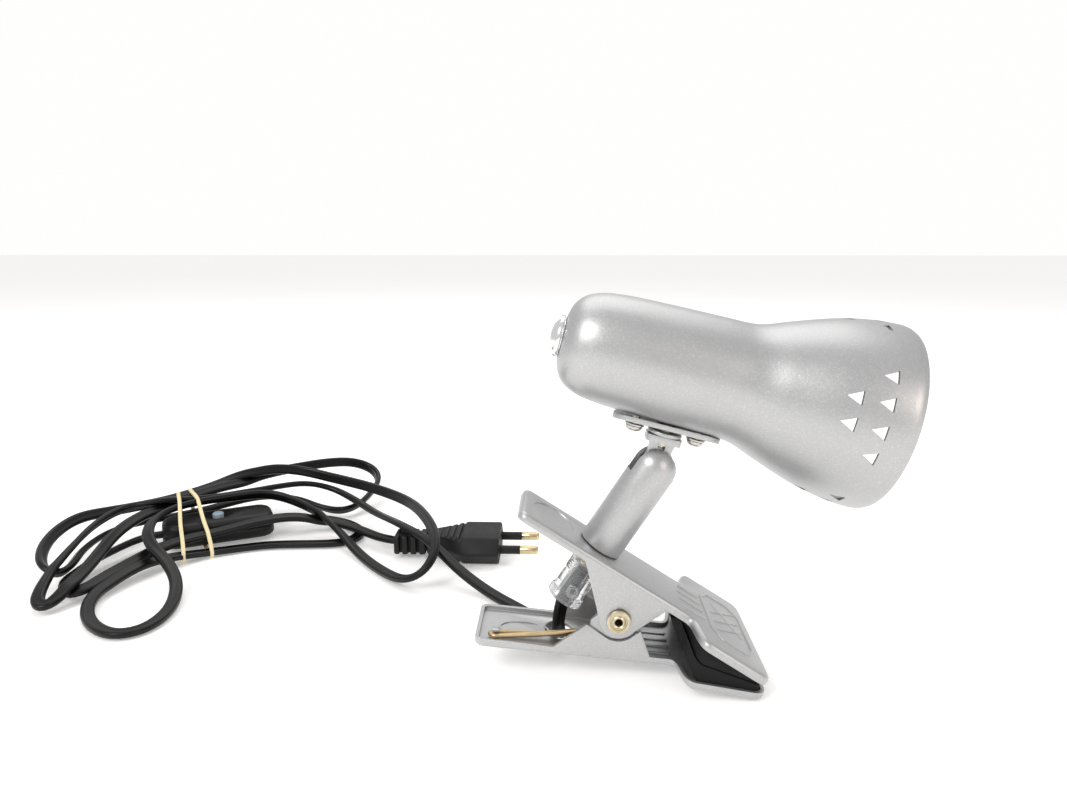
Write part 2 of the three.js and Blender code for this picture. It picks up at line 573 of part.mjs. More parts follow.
const switchButton = () => inSwitch(turned([[0, 10.7], [4.4, 10.7], [4.4, 11.5], [2.8, 11.8], [2.8, 14.6],
  [2.4, 15.1], [0, 15.4]]));
function switchScrew() {
  const [headTop, end] = [SWITCH_FOOT + 0.8, SWITCH_SPLIT + 3];
  const body = turned([[0, SWITCH_FOOT], [2.1, SWITCH_FOOT + 0.1], [2.1, headTop], [1.1, headTop],
    [1.1, end], [0, end]], 16);
  return inSwitch(body.translate([SWITCH_SCREW, 0, 0]));
}

const switchContacts = () => inSwitch(box([-11, -5, 4.2], [9, 5, 5]));

const PLUG_FRONT = -73.6;
const PLUG_Y = 98;
const PLUG_Z = 6.85;
const PIN_OUT = 9.3; // each pin from the plug's middle

/** Six-sided plug body of the flat two-pin kind, tapering back to a ridged grip. */
function plugBody() {
  const [half, high, flat] = [17.65, 6.85, 11.6];
  const section = (scaleY, scaleZ) => [[-half, 0], [-flat, -high], [flat, -high], [half, 0], [flat, high],
    [-flat, high]].map(([y, z]) => [y * scaleY, z * scaleZ]);
  const stations = [[0, 1, 1], [-17, 1, 1], [-19.5, 0.93, 0.97], [-24, 0.76, 0.9], [-30, 0.56, 0.82],
    [-36.4, 0.4, 0.72]];
  const positions = [];
  const rings = stations.map(([x, sy, sz]) => section(sy, sz).map(([y, z]) => [x, y, z]));
  const quad = (a, b, c, d) => positions.push(...a, ...b, ...c, ...a, ...c, ...d);
  for (let i = 0; i + 1 < rings.length; i += 1) {
    for (let k = 0; k < 6; k += 1) {
      const n = (k + 1) % 6;
      quad(rings[i][k], rings[i][n], rings[i + 1][n], rings[i + 1][k]);
    }
  }
  for (const [face, flip] of [[rings[0], true], [rings.at(-1), false]]) {
    for (let k = 1; k < 5; k += 1) {
      positions.push(...face[0], ...(flip ? face[k + 1] : face[k]), ...(flip ? face[k] : face[k + 1]));
    }
  }
  const g = new THREE.BufferGeometry();
  g.setAttribute('position', new THREE.Float32BufferAttribute(positions, 3));
  const body = solid(g);
  const ridges = [-19.6, -22.4, -25.2].map((x, i) => {
    const w = 12.6 - i * 2.2;
    return join(box([x, -w, 5.2], [x + 1.1, w, 9]), box([x, -w, -9], [x + 1.1, w, -5.9]));
  });
  const pinHole = (sign) => alongX(bar(2.1, -11, 1, 20)).translate([0, sign * PIN_OUT, 0]);
  const cordHole = alongX(bar(2.5, -40, -30, 16));
  return cut(body, ...ridges, pinHole(-1), pinHole(1), cordHole)
    .translate([PLUG_FRONT, PLUG_Y, PLUG_Z]);
}

const plugPin = (sign) => alongX(turned([[0, -8], [2, -8], [2, 17.6], [1.5, 18.7], [0, 19]], 20))
  .translate([PLUG_FRONT, PLUG_Y + sign * PIN_OUT, PLUG_Z]);

/** Castellated strain relief behind the plug. */
function plugRelief() {
  const [front, back] = [PLUG_FRONT - 36.7, PLUG_FRONT - 52.6];
  const body = box([back, -6.6, -4.8], [front, 6.6, 4.8]);
  const notches = [];
  for (const x of [front - 3.2, front - 7.4, front - 11.6]) {
    for (const sign of [-1, 1]) {
      const [near, far] = sign > 0 ? [3.4, 9] : [-9, -3.4];
      notches.push(box([x - 1.7, near, -9], [x, far, 9]));
    }
  }
  const bore = alongX(bar(CORD_R + 0.25, back - 1, front + 1, 16));
  return cut(body, ...notches, bore).translate([0, PLUG_Y, PLUG_Z]);
}

// ---------- assembly ----------
const lamp = new THREE.Group();

const lower = leaning(lamp, PIVOT, LOWER_PITCH);
part(lower, 'lower_arm', lowerArm(), silver);
part(lower, 'lower_pad', lowerPad(), rubber);
part(lower, 'pivot_rivet', pivotRivet(), zinc);
part(lower, 'torsion_spring', torsionSpring(), zinc);

const upper = leaning(lamp, PIVOT, UPPER_PITCH);
part(upper, 'upper_arm', upperArm(), silver);
part(upper, 'upper_pad', upperPad(), rubber);
const onTube = new THREE.Group();
onTube.position.x = TUBE_U;
upper.add(onTube);
part(onTube, 'arm_tube', armTube(), silver);
part(onTube, 'tube_insert', tubeInsert(), zinc);
part(onTube, 'threaded_nipple', threadedNipple(), zinc);
part(onTube, 'tilt_pin', tiltPin(), zinc);
part(onTube, 'friction_washer_near', frictionWasher(-1), black);
part(onTube, 'friction_washer_far', frictionWasher(1), black);
part(upper, 'arm_wire', armWire(), black);
part(upper, 'cord_grip', cordGrip(), clear);
part(upper, 'cord_grip_screw', cordGripScrew(), clear);

const tilt = V3([TUBE_U, 0, TILT_V]).applyAxisAngle(V3([0, 1, 0]), UPPER_PITCH).add(V3(PIVOT));
const neck = leaning(lamp, tilt.toArray(), HEAD_PITCH);
part(neck, 'tilt_tongue', tiltTongue(), silver);
part(neck, 'swivel_collar', swivelCollar(), silver);
part(neck, 'swivel_rivet', swivelRivet(), zinc);

const head = new THREE.Group();
head.position.set(-NECK_S, 0, HEAD_RISE);
neck.add(head);
part(head, 'head_plate', headPlate(), silver);
for (const [name, s] of [['rear', NECK_S - SCREW_STEP], ['front', NECK_S + SCREW_STEP]]) {
  part(head, `plate_screw_${name}`, plateScrew(s), zinc);
  part(head, `plate_washer_${name}`, plateWasher(s), zinc);
}
part(head, 'head_shade', headShade(), silver);
part(head, 'rear_cap', rearCap(), chrome);
part(head, 'holder_bracket', holderBracket(), zinc);
part(head, 'holder_nipple', holderNipple(), zinc);
part(head, 'holder_nut', holderNut(), zinc);
part(head, 'lampholder_body', lampholderBody(), black);
part(head, 'lampholder_core', lampholderCore(), ceramic);
part(head, 'screw_shell', screwShell(), brass);
part(head, 'centre_contact', centreContact(), brass);
part(head, 'head_wire', headWire(), black);

const cords = new THREE.Group();
lamp.add(cords);
part(cords, 'cord_riser', tube(RISER, CORD_R, 10), black);
part(cords, 'cord_lead', tube(LEAD, CORD_R, 26), black);
part(cords, 'cord_loop', tube(LOOP, CORD_R, 26), black);
part(cords, 'cord_tail', tube(TAIL, CORD_R, 6), black);
part(cords, 'cord_hank_front', cordHankFront(), black);
part(cords, 'cord_hank_back', cordHankBack(), black);
part(cords, 'rubber_band', rubberBand(), cream);
part(cords, 'switch_base', switchBase(), black);
part(cords, 'switch_cover', switchCover(), black);
part(cords, 'switch_button', switchButton(), button);
part(cords, 'switch_screw', switchScrew(), zinc);
part(cords, 'switch_contacts', switchContacts(), brass);
part(cords, 'plug_body', plugBody(), black);
part(cords, 'plug_relief', plugRelief(), black);
part(cords, 'plug_pin_near', plugPin(-1), brass);
part(cords, 'plug_pin_far', plugPin(1), brass);

export default lamp;
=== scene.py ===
# Clip-on reading lamp in silver paint, with a black flat lead tied in a bundle.
# Pieces are modelled in millimetres in the frame of the arm, neck or shade they belong to,
# then set into the shared frame in metres.
import json
import math

import bmesh
import bpy
import numpy as np
from mathutils import Matrix, Vector


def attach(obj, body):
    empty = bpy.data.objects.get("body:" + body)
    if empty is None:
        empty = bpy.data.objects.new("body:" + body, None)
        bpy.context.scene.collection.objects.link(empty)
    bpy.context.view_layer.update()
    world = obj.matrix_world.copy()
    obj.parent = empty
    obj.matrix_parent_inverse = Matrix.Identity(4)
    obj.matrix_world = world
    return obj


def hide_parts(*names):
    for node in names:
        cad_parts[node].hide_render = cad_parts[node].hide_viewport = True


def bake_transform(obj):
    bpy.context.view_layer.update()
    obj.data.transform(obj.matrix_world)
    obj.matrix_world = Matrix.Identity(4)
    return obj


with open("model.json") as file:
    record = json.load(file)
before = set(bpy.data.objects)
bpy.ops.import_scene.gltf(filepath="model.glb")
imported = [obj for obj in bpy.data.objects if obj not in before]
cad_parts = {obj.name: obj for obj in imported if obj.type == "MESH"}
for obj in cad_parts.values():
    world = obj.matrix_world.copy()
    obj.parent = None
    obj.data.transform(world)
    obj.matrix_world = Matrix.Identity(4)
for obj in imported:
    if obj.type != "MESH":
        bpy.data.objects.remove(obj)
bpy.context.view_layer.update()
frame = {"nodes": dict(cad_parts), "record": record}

# ---------- the frames of the lamp's bodies ----------
MM = Matrix.Scale(0.001, 4)
PIVOT = Vector((-23.215, 0, 22.348))


def leaning(position, pitch):
    """The frame of a body that leans nose-down by pitch degrees."""
    return Matrix.Translation(position) @ Matrix.Rotation(math.radians(pitch), 4, "Y")


TABLE = Matrix.Identity(4)
LOWER = leaning(PIVOT, 5.4)
UPPER = leaning(PIVOT, 32.5)
TUBE_U, TILT_V = -17.5, 51
TUBE = UPPER @ Matrix.Translation((TUBE_U, 0, 0))
NECK = leaning(TUBE @ Vector((0, 0, TILT_V)), 14.2)
NECK_S, HEAD_RISE = 44.6, 37.3
SCREWS = (NECK_S - 11.2, NECK_S + 11.2)  # the two plate screws, from the shade's rear
PIN_OUT = 9.3  # each plug pin from the plug's middle
HEAD = NECK @ Matrix.Translation((-NECK_S, 0, HEAD_RISE))
ALONG_X = Matrix.Rotation(math.radians(90), 4, "Y")
ALONG_Y = Matrix.Rotation(math.radians(90), 4, "X")


# ---------- camera ----------
def make_camera():
    data = bpy.data.cameras.new("camera")
    data.sensor_width = 36
    data.lens = 26.99
    data.clip_start, data.clip_end = 0.01, 20
    camera = bpy.data.objects.new("camera", data)
    bpy.context.collection.objects.link(camera)
    camera.location = (-0.0442, -0.2778, 0.1552)
    camera.rotation_euler = (math.radians(78.6), 0, math.radians(2.0))
    bpy.context.scene.camera = camera


def deselect():
    if bpy.context.mode != "OBJECT":
        bpy.ops.object.mode_set(mode="OBJECT")
    bpy.ops.object.select_all(action="DESELECT")


def pick(obj):
    """Makes obj the only selected object and the active one."""
    deselect()
    obj.select_set(True)
    bpy.context.view_layer.objects.active = obj
    return obj


def apply_place():
    bpy.ops.object.transform_apply(location=True, rotation=True, scale=True)


make_camera()


# ---------- shader writing ----------
class Socket:
    """An output socket; sums and products of sockets and numbers become Math nodes."""

    def __init__(self, tree, out):
        self.tree, self.out = tree, out

    def _math(self, operation, a, b):
        node = self.tree.nodes.new("ShaderNodeMath")
        node.operation = operation
        for place, value in zip(node.inputs, (a, b)):
            if isinstance(value, Socket):
                self.tree.links.new(value.out, place)
            else:
                place.default_value = value
        return Socket(self.tree, node.outputs[0])

    def __add__(self, other): return self._math("ADD", self, other)
    def __radd__(self, other): return self._math("ADD", other, self)
    def __sub__(self, other): return self._math("SUBTRACT", self, other)
    def __rsub__(self, other): return self._math("SUBTRACT", other, self)
    def __mul__(self, other): return self._math("MULTIPLY", self, other)
    def power(self, other): return self._math("POWER", self, other)

    def clamped(self):
        made = self._math("ADD", self, 0.0)
        made.out.node.use_clamp = True
        return made


class Finish:
    """One material and the way to write it."""

    def __init__(self, name, **fixed):
        self.material = bpy.data.materials.new(name)
        self.material.use_nodes = True
        self.tree = self.material.node_tree
        self.shader = self.tree.nodes["Principled BSDF"]
        for key, value in fixed.items():
            self.shader.inputs[key.replace("_", " ")].default_value = value

    def node(self, kind, settings=None, inputs=None, output=0):
        """A node of this kind, its settings first and then its sockets."""
        made = self.tree.nodes.new("ShaderNode" + kind)
        for key, value in (settings or {}).items():
            setattr(made, key, value)
        for key, value in (inputs or {}).items():
            place = made.inputs[key]
            if isinstance(value, Socket):
                self.tree.links.new(value.out, place)
            else:
                place.default_value = value
        return Socket(self.tree, made.outputs[output])

    def place(self, scale=(1, 1, 1)):
        """Object coordinates in millimetres, stretched."""
        own = self.node("TexCoord", output="Object")
        return self.node("Mapping", {}, {"Vector": own, "Scale": [1000 * s for s in scale]})

    def noise(self, at, scale, detail=3.0, roughness=0.55):
        return self.node("TexNoise", {}, {"Vector": at, "Scale": scale, "Detail": detail,
                                          "Roughness": roughness}, "Fac")

    def cells(self, at, scale, output="Distance"):
        return self.node("TexVoronoi", {}, {"Vector": at, "Scale": scale}, output)

    def ramp(self, value, low, high):
        """0 below low, 1 above high, straight between."""
        return self.node("MapRange", {"clamp": True}, {
            "Value": value, "From Min": low, "From Max": high, "To Min": 0.0, "To Max": 1.0})

    def blend(self, amount, first, second):
        """Colour first where amount is 0, second where it is 1."""
        inputs = {0: amount}
        for key, colour in ((6, first), (7, second)):
            inputs[key] = colour if isinstance(colour, Socket) else (*colour, 1)
        return self.node("Mix", {"data_type": "RGBA"}, inputs, 2)

    def bump(self, height, strength, distance, normal=None):
        inputs = {"Height": height, "Strength": strength, "Distance": distance}
        if normal:
            inputs["Normal"] = normal
        return self.node("Bump", {}, inputs)

    def drive(self, **sockets):
        """Links values that vary to the shader's sockets."""
        for key, value in sockets.items():
            self.tree.links.new(value.out, self.shader.inputs[key.replace("_", " ")])
        return self.material


def silver_paint(name, inner=False):
    """Silver paint with fine metal flake, a slight orange-peel and small handling marks; with inner set, the
    base is darker, which is painted shade for the inside of the shade.
    """
    # the darker inner base is painted shade: a shaded copy of the same silver paint
    base = (0.30, 0.303, 0.307) if inner else (0.46, 0.464, 0.47)
    f = Finish(name, Coat_Roughness=0.28, Coat_Weight=0.15)
    at = f.place()
    flake = f.cells(at, 3.4, "Color")
    sparkle = f.node("SeparateColor", {}, {"Color": flake}, "Red")
    cloud = f.noise(at, 0.035, 4.0)
    peel = f.noise(at, 0.9, 2.0)
    grain = f.noise(at, 5.5, 2.0, 0.7)
    marks = f.ramp(f.noise(at, 0.11, 6.0, 0.7), 0.63, 0.72)
    tone = f.blend(f.ramp(cloud, 0.3, 0.75), base, [c * 1.06 for c in base])
    speck = f.blend(sparkle.power(6.0) * 0.38, tone, (0.74, 0.75, 0.76))
    worn = f.blend(marks * 0.25, speck, [c * 0.8 for c in base])
    f.drive(
        Base_Color=worn,
        Metallic=0.86 - marks * 0.15,
        Roughness=(0.37 + sparkle * 0.07 + (cloud - 0.5) * 0.10 + marks * 0.06).clamped(),
        Normal=f.bump(grain * 0.5 + sparkle * 0.5, 0.16, 0.00012,
                      f.bump(peel, 0.10, 0.0004)))
    return f.material


def black_rubber(name):
    f = Finish(name, Specular_IOR_Level=0.35)
    at = f.place()
    grain = f.noise(at, 4.0, 3.0, 0.7)
    dust = f.ramp(f.noise(at, 0.16, 5.0, 0.65), 0.5, 0.8)
    base = f.blend(dust * 0.3, (0.006, 0.006, 0.0065), (0.03, 0.03, 0.029))
    return f.drive(Base_Color=base, Roughness=(0.72 + grain * 0.2).clamped(),
                   Normal=f.bump(grain, 0.35, 0.0003))


def zinc_plate(name, tint=(0.66, 0.60, 0.47), rough=0.30):
    """Zinc plate with a warm passivated tint and small turning marks."""
    f = Finish(name, Metallic=1.0)
    at = f.place()
    cloud = f.noise(at, 0.4, 4.0)
    lines = f.noise(f.place((1, 1, 12)), 1.2, 2.0)
    stain = f.ramp(f.noise(at, 0.9, 5.0), 0.52, 0.75)
    tone = f.blend(f.ramp(cloud, 0.35, 0.65), [c * 0.9 for c in tint],
                   (tint[0] * 1.06, tint[1] * 1.03, tint[2] * 0.93))
    return f.drive(Base_Color=f.blend(stain * 0.4, tone, (0.40, 0.34, 0.25)),
                   Roughness=(rough + (cloud - 0.5) * 0.18 + stain * 0.15).clamped(),
                   Normal=f.bump(lines, 0.12, 0.0002))


def chrome(name):
    f = Finish(name, Metallic=1.0)
    at = f.place()
    smear = f.noise(at, 0.25, 4.0)
    pits = f.ramp(f.cells(at, 1.4), 0.0, 0.06)
    return f.drive(Base_Color=f.blend(smear, (0.80, 0.80, 0.81), (0.88, 0.875, 0.865)),
                   Roughness=(0.10 + smear * 0.10).clamped(),
                   Normal=f.bump(pits, 0.05, 0.0001))


def clear_plastic(name):
    f = Finish(name, Transmission_Weight=0.88, IOR=1.2, Specular_IOR_Level=0.5)
    at = f.place()
    haze = f.noise(at, 0.5, 4.0)
    return f.drive(Base_Color=f.blend(haze, (0.84, 0.86, 0.88), (0.95, 0.96, 0.97)),
                   Roughness=(0.12 + haze * 0.08).clamped(),
                   Normal=f.bump(f.noise(at, 1.5, 2.0), 0.03, 0.0002))


def black_plastic(name, rough=0.42, base=(0.008, 0.008, 0.0085)):
    """Moulded plastic with a fine spark-eroded texture, rubbed smoother in places."""
    f = Finish(name, Specular_IOR_Level=0.32)
    at = f.place()
    texture = f.noise(at, 6.5, 2.0, 0.6)
    rub = f.ramp(f.noise(at, 0.12, 4.0), 0.35, 0.7)
    dust = f.ramp(f.noise(at, 1.2, 6.0, 0.75), 0.60, 0.78)
    return f.drive(Base_Color=f.blend(dust * 0.30, base, [c * 2 + 0.014 for c in base]),
                   Roughness=(rough + texture * 0.16 - rub * 0.10).clamped(),
                   Normal=f.bump(texture, 0.22, 0.00018))


def ceramic(name):
    f = Finish(name, Coat_Roughness=0.15, Coat_Weight=0.4)
    at = f.place()
    cloud = f.noise(at, 0.5, 5.0)
    return f.drive(Base_Color=f.blend(cloud, (0.70, 0.66, 0.57), (0.82, 0.79, 0.71)),
                   Roughness=(0.35 + cloud * 0.2).clamped(),
                   Normal=f.bump(f.noise(at, 3.0), 0.15, 0.0002))


def cream_rubber(name):
    """Natural rubber band: faint lengthwise streaks and darker flecks."""
    f = Finish(name, Subsurface_Weight=0.15, Subsurface_Scale=0.002, Specular_IOR_Level=0.4)
    at = f.place()
    streak = f.noise(f.place((3, 3, 0.6)), 1.1, 3.0)
    fleck = f.ramp(f.noise(at, 2.2, 3.0), 0.62, 0.75)
    tone = f.blend(streak, (0.72, 0.60, 0.33), (0.86, 0.77, 0.50))
    return f.drive(Base_Color=f.blend(fleck * 0.35, tone, (0.50, 0.38, 0.17)),
                   Roughness=(0.50 + streak * 0.2).clamped(),
                   Normal=f.bump(streak, 0.35, 0.0003))


def flat_lead(name):
    """Black sheath of the lead: satin, with faint draw marks along it and a little dust."""
    f = Finish(name, Specular_IOR_Level=0.26)
    along = f.node("UVMap", {"uv_map": "lead"})
    draw = f.noise(f.node("Mapping", {}, {"Vector": along, "Scale": (60, 1.5, 1)}), 1.0, 3.0)
    at = f.place()
    dust = f.ramp(f.noise(at, 0.9, 5.0, 0.7), 0.58, 0.78)
    patch = f.noise(at, 0.05, 3.0)
    return f.drive(Base_Color=f.blend(dust * 0.35, (0.004, 0.004, 0.0045), (0.022, 0.022, 0.024)),
                   Roughness=(0.22 + patch * 0.16 + draw * 0.06 + dust * 0.1).clamped(),
                   Normal=f.bump(draw * 0.6 + f.noise(at, 3.0) * 0.4, 0.14, 0.0002))


MATERIALS = {
    "silver_paint": silver_paint("silver_paint"),
    # darker copy of the silver paint, painted shade for the shade's inside
    "silver_inside": silver_paint("silver_inside", True),
    "black_rubber": black_rubber("black_rubber"),
    "zinc_plate": zinc_plate("zinc_plate"),
    "steel_plate": zinc_plate("steel_plate", (0.62, 0.62, 0.61), 0.28),
    "chrome": chrome("chrome"),
    "clear_plastic": clear_plastic("clear_plastic"),
    "black_plastic": black_plastic("black_plastic"),
    "plug_plastic": black_plastic("plug_plastic", 0.50),
    "button_plastic": black_plastic("button_plastic", 0.30, (0.27, 0.34, 0.42)),
    "cord_pvc": flat_lead("cord_pvc"),
    "wire_pvc": black_plastic("wire_pvc", 0.35),
    "ceramic": ceramic("ceramic"),
    "brass": zinc_plate("brass", (0.64, 0.53, 0.33), 0.24),
    "spring_wire": zinc_plate("spring_wire", (0.56, 0.43, 0.26), 0.34),
    "cream_rubber": cream_rubber("cream_rubber"),
}


# ---------- finishing a piece ----------
def set_in(obj, where):
    """Applies a piece's place: from millimetres in a body's frame to metres in the shared one."""
    pick(obj)
    obj.matrix_world = MM @ where @ obj.matrix_world
    apply_place()


def smooth(obj, angle=35):
    pick(obj)
    bpy.ops.object.shade_smooth_by_angle(angle=math.radians(angle), keep_sharp_edges=False)


def finish_piece(obj, name, where, body, material, nodes=(), angle=35):
    """Sets a finished piece in place, on its body, in its material, in place of its CAD nodes."""
    obj.name = name
    set_in(obj, where)
    smooth(obj, angle)
    obj.data.materials.clear()
    obj.data.materials.append(MATERIALS[material])
    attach(obj, body)
    if nodes:
        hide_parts(*nodes)
    return obj


# ---------- the lead ----------
CORD_WIDE, CORD_THICK = 5.6, 3.2
# the run from the cord grip, under the arm, over the plug's neck, through the tied bundle and its
# loops, through the switch and back to the plug; each point is x, y, z and how far the flat lead
# is turned from lying flat, in degrees
RUN = [
    (*(TUBE @ Vector((0, 0, 5.5))), 60), (*(TUBE @ Vector((0, 0, -1.5))), 60),
    (*(TUBE @ Vector((0, 0, -8))), 60), (-43.4, 0.0, 21.5, 60), (-44.2, 0.4, 17, 60), (-44.6, 1.4, 12, 40),
    (-44.6, 3.6, 8.2, 20), (-44.6, 7.4, 5.2, 0), (-46, 13, 3.4, 0), (-50, 21, 2.2, 0),
    (-59, 33, 2, 0), (-75, 50, 2.4, 0), (-88, 60, 7, 5), (-97, 68, 11.5, 10),
    (-106, 79, 14.5, 15), (-125, 103, 14, 20), (-145, 132, 10, 20), (-159, 150, 10, 20),
    (-174, 159, 14, 20), (-188, 157, 18, 20), (-203, 143, 20, 20), (-222, 127, 20, 20),
    (-246, 118, 20, 20),
    (-257, 112, 20, 20), (-268, 110, 19, 40), (-274, 94, 17, 50), (-273, 67, 13, 40),
    (-270, 43, 8, 20), (-265, 28, 4, 0), (-260, 25, 3, 0), (-257, 35, 6, 20), (-257, 58, 11, 40),
    (-260, 85, 15, 40), (-256, 108, 17, 30),
    (-240, 128, 20, 30), (-215, 160, 22, 50), (-199, 176, 22, 80), (-185, 186, 22, 90),
    (-172, 195, 20, 90), (-161, 196, 16, 90), (-154, 185, 12, 80), (-156, 169, 8, 60),
    (-161, 154, 5, 40), (-168, 146, 5, 40), (-179, 147, 7, 40), (-193, 153, 10, 20),
    (-213, 150, 12, 10), (-240, 126, 11, 0),
    (-271, 106, 9, 20), (-273, 78, 9, 40), (-268, 52, 7, 40), (-276, 52, 9, 40),
    (-286, 66, 12, 50), (-290, 84, 15, 50), (-287, 100, 17, 50), (-277, 108, 17, 40),
    (-255, 124, 18, 20), (-225, 150, 23, 30), (-210, 158, 26, 60), (-196, 163, 24, 80),
    (-176, 159, 21, 85), (-150, 146, 19.5, 85), (-126, 124, 19.5, 80), (-111, 96, 21, 70),
    (-102, 72, 19, 60), (-101, 60, 14, 50), (-106, 55, 8, 30), (-114, 58, 4, 10),
    (-126, 70, 2.4, 0), (-143, 91, 2.6, 10), (-161, 113, 8, 40), (-182, 128, 15, 70),
    (-203, 134, 19, 70), (-220, 126, 20, 50), (-241, 108, 20, 30),
    (-246, 97, 19, 30), (-245, 85, 17, 20), (-238, 73, 14, 10), (-225, 62, 10, 0),
    (-216, 52, 6, 0), (-211, 41, 3, 0), (-208, 25, 2, 0), (-211, 11, 2, 0), (-219, 7, 2, 0),
    (-231, 13, 2, 0), (-242, 26, 2, 0), (-247, 39, 3, 10), (-246, 52, 5, 20),
    (-240, 66, 6, 20), (-232, 78, 5, 10),
    (-222, 88, 3, 0), (-208, 97, 2, 0), (-193, 103, 2, 0), (-172, 105, 2, 0), (-156, 107, 2, 0),
    (-149, 115, 2, 10), (-151, 126, 2.4, 20), (-161, 133, 4, 20), (-175, 133, 6, 10),
    (-188, 130.5, 7, 0), (-199, 126.2, 7.4, 0), (-222.7, 114, 7.4, 0), (-246.4, 101.8, 7.4, 0),
    (-255, 96, 7.4, 10), (-262, 82, 6, 20), (-265, 62, 6, 20), (-263, 44, 6, 20),
    (-256, 37, 5, 20), (-250, 44, 5, 20), (-246, 60, 6, 30), (-240, 78, 8, 30), (-231, 90, 9, 20),
    (-216, 100, 10, 10), (-200, 110, 12, 20), (-184, 118, 12, 20), (-165, 122, 8, 10),
    (-148, 115, 6, 0), (-136, 104, 6.4, 0), (-124, 98.6, 6.85, 0), (-108, 98, 6.85, 0),
]


def smooth_run(points, step):
    """Points a step apart along a centripetal Catmull-Rom curve through these."""
    p = np.array(points, float)
    p = np.vstack([2 * p[0] - p[1], p, 2 * p[-1] - p[-2]])
    out = []
    for i in range(1, len(p) - 2):
        a, b, c, d = p[i - 1:i + 3]
        t = np.cumsum([0] + [max(np.linalg.norm(v[:3]), 1e-6) ** 0.5 for v in (b - a, c - b, d - c)])
        n = max(2, int(np.linalg.norm((c - b)[:3]) / step * 3))
        for s in np.linspace(t[1], t[2], n, endpoint=False):
            ab = a + (b - a) * (s - t[0]) / (t[1] - t[0])
            bc = b + (c - b) * (s - t[1]) / (t[2] - t[1])
            cd = c + (d - c) * (s - t[2]) / (t[3] - t[2])
            abc = ab + (bc - ab) * (s - t[0]) / (t[2] - t[0])
            bcd = bc + (cd - bc) * (s - t[1]) / (t[3] - t[1])
            out.append(abc + (bcd - abc) * (s - t[1]) / (t[2] - t[1]))
    out = np.array(out + [p[-2]])
    run = np.concatenate([[0], np.cumsum(np.linalg.norm(np.diff(out[:, :3], axis=0), axis=1))])
    even = np.linspace(0, run[-1], int(run[-1] / step) + 1)
    return np.column_stack([np.interp(even, run, out[:, k]) for k in range(out.shape[1])])


SWITCH_AT, SWITCH_TURN = Vector((-222.7, 114, 0)), math.radians(27.3)


def settle(run, step):
    """Moves the strands of the run apart until they lie on the table, the switch and each other."""
    p, wish = run[:, :3].copy(), run[:, :3].copy()
    n = len(p)
    apart = np.abs(np.subtract.outer(np.arange(n), np.arange(n))) * step > 14
    along = np.array((math.cos(SWITCH_TURN), math.sin(SWITCH_TURN)))
    across = np.array((-along[1], along[0]))
    lead_in = np.zeros(n, bool)
    lead_in[:int(60 / step)] = True
    lead_in[-int(22 / step):] = True
    from_switch = (wish[:, :2] - np.array(SWITCH_AT)[:2])
    inside = (np.abs(from_switch @ along) < 32) & (np.abs(from_switch @ across) < 3) \
        & (np.abs(wish[:, 2] - 7.4) < 0.8)
    held = lead_in | inside
    lean = np.radians(run[:, 3])
    low_side = 0.15 + 1.6 * np.abs(np.cos(lean)) + 2.8 * np.abs(np.sin(lean))
    low_side = np.minimum(low_side, 3.0)
    for _ in range(160):
        gap = p[:, None, :] - p[None, :, :]
        flat = gap * np.array((1, 1, 1.25))
        far = np.linalg.norm(flat, axis=2) + 1e-6
        push = np.where(apart & (far < 5.0), (5.0 - far) / far, 0)
        move = (gap * push[:, :, None]).sum(axis=1) * 0.35
        size = np.linalg.norm(move, axis=1, keepdims=True)
        move *= np.minimum(1, 1.2 / np.maximum(size, 1e-6))
        bend = np.zeros_like(p)
        bend[1:-1] = (p[:-2] + p[2:]) / 2 - p[1:-1]
        p += move + 0.35 * bend + 0.04 * (wish - p)
        local = p[:, :2] - np.array(SWITCH_AT)[:2]
        u, v = local @ along, local @ across
        over = (np.abs(u) < 28) & (np.abs(v) < 12) & (p[:, 2] < 16.2) & ~held
        p[over & (p[:, 2] > 8), 2] += 0.6
        low = over & (p[:, 2] <= 8)
        p[low, :2] += np.sign(v[low])[:, None] * across * 0.6
        p[:, 2] = np.maximum(p[:, 2], low_side)
        p[held] = wish[held]
    return p


def lead_section(sides=20):
    """Outline of the flat twin lead: two round cores side by side with a web between them."""
    out = []
    for k in range(sides):
        a = 2 * math.pi * k / sides
        x, y = math.cos(a), math.sin(a)
        wide = CORD_WIDE / 2 * math.copysign(abs(x) ** 0.75, x)
        thick = CORD_THICK / 2 * math.copysign(abs(y) ** 0.62, y)
        groove = 0.34 * math.exp(-(wide / 0.55) ** 2)
        out.append((wide, thick * (1 - groove)))
    return out


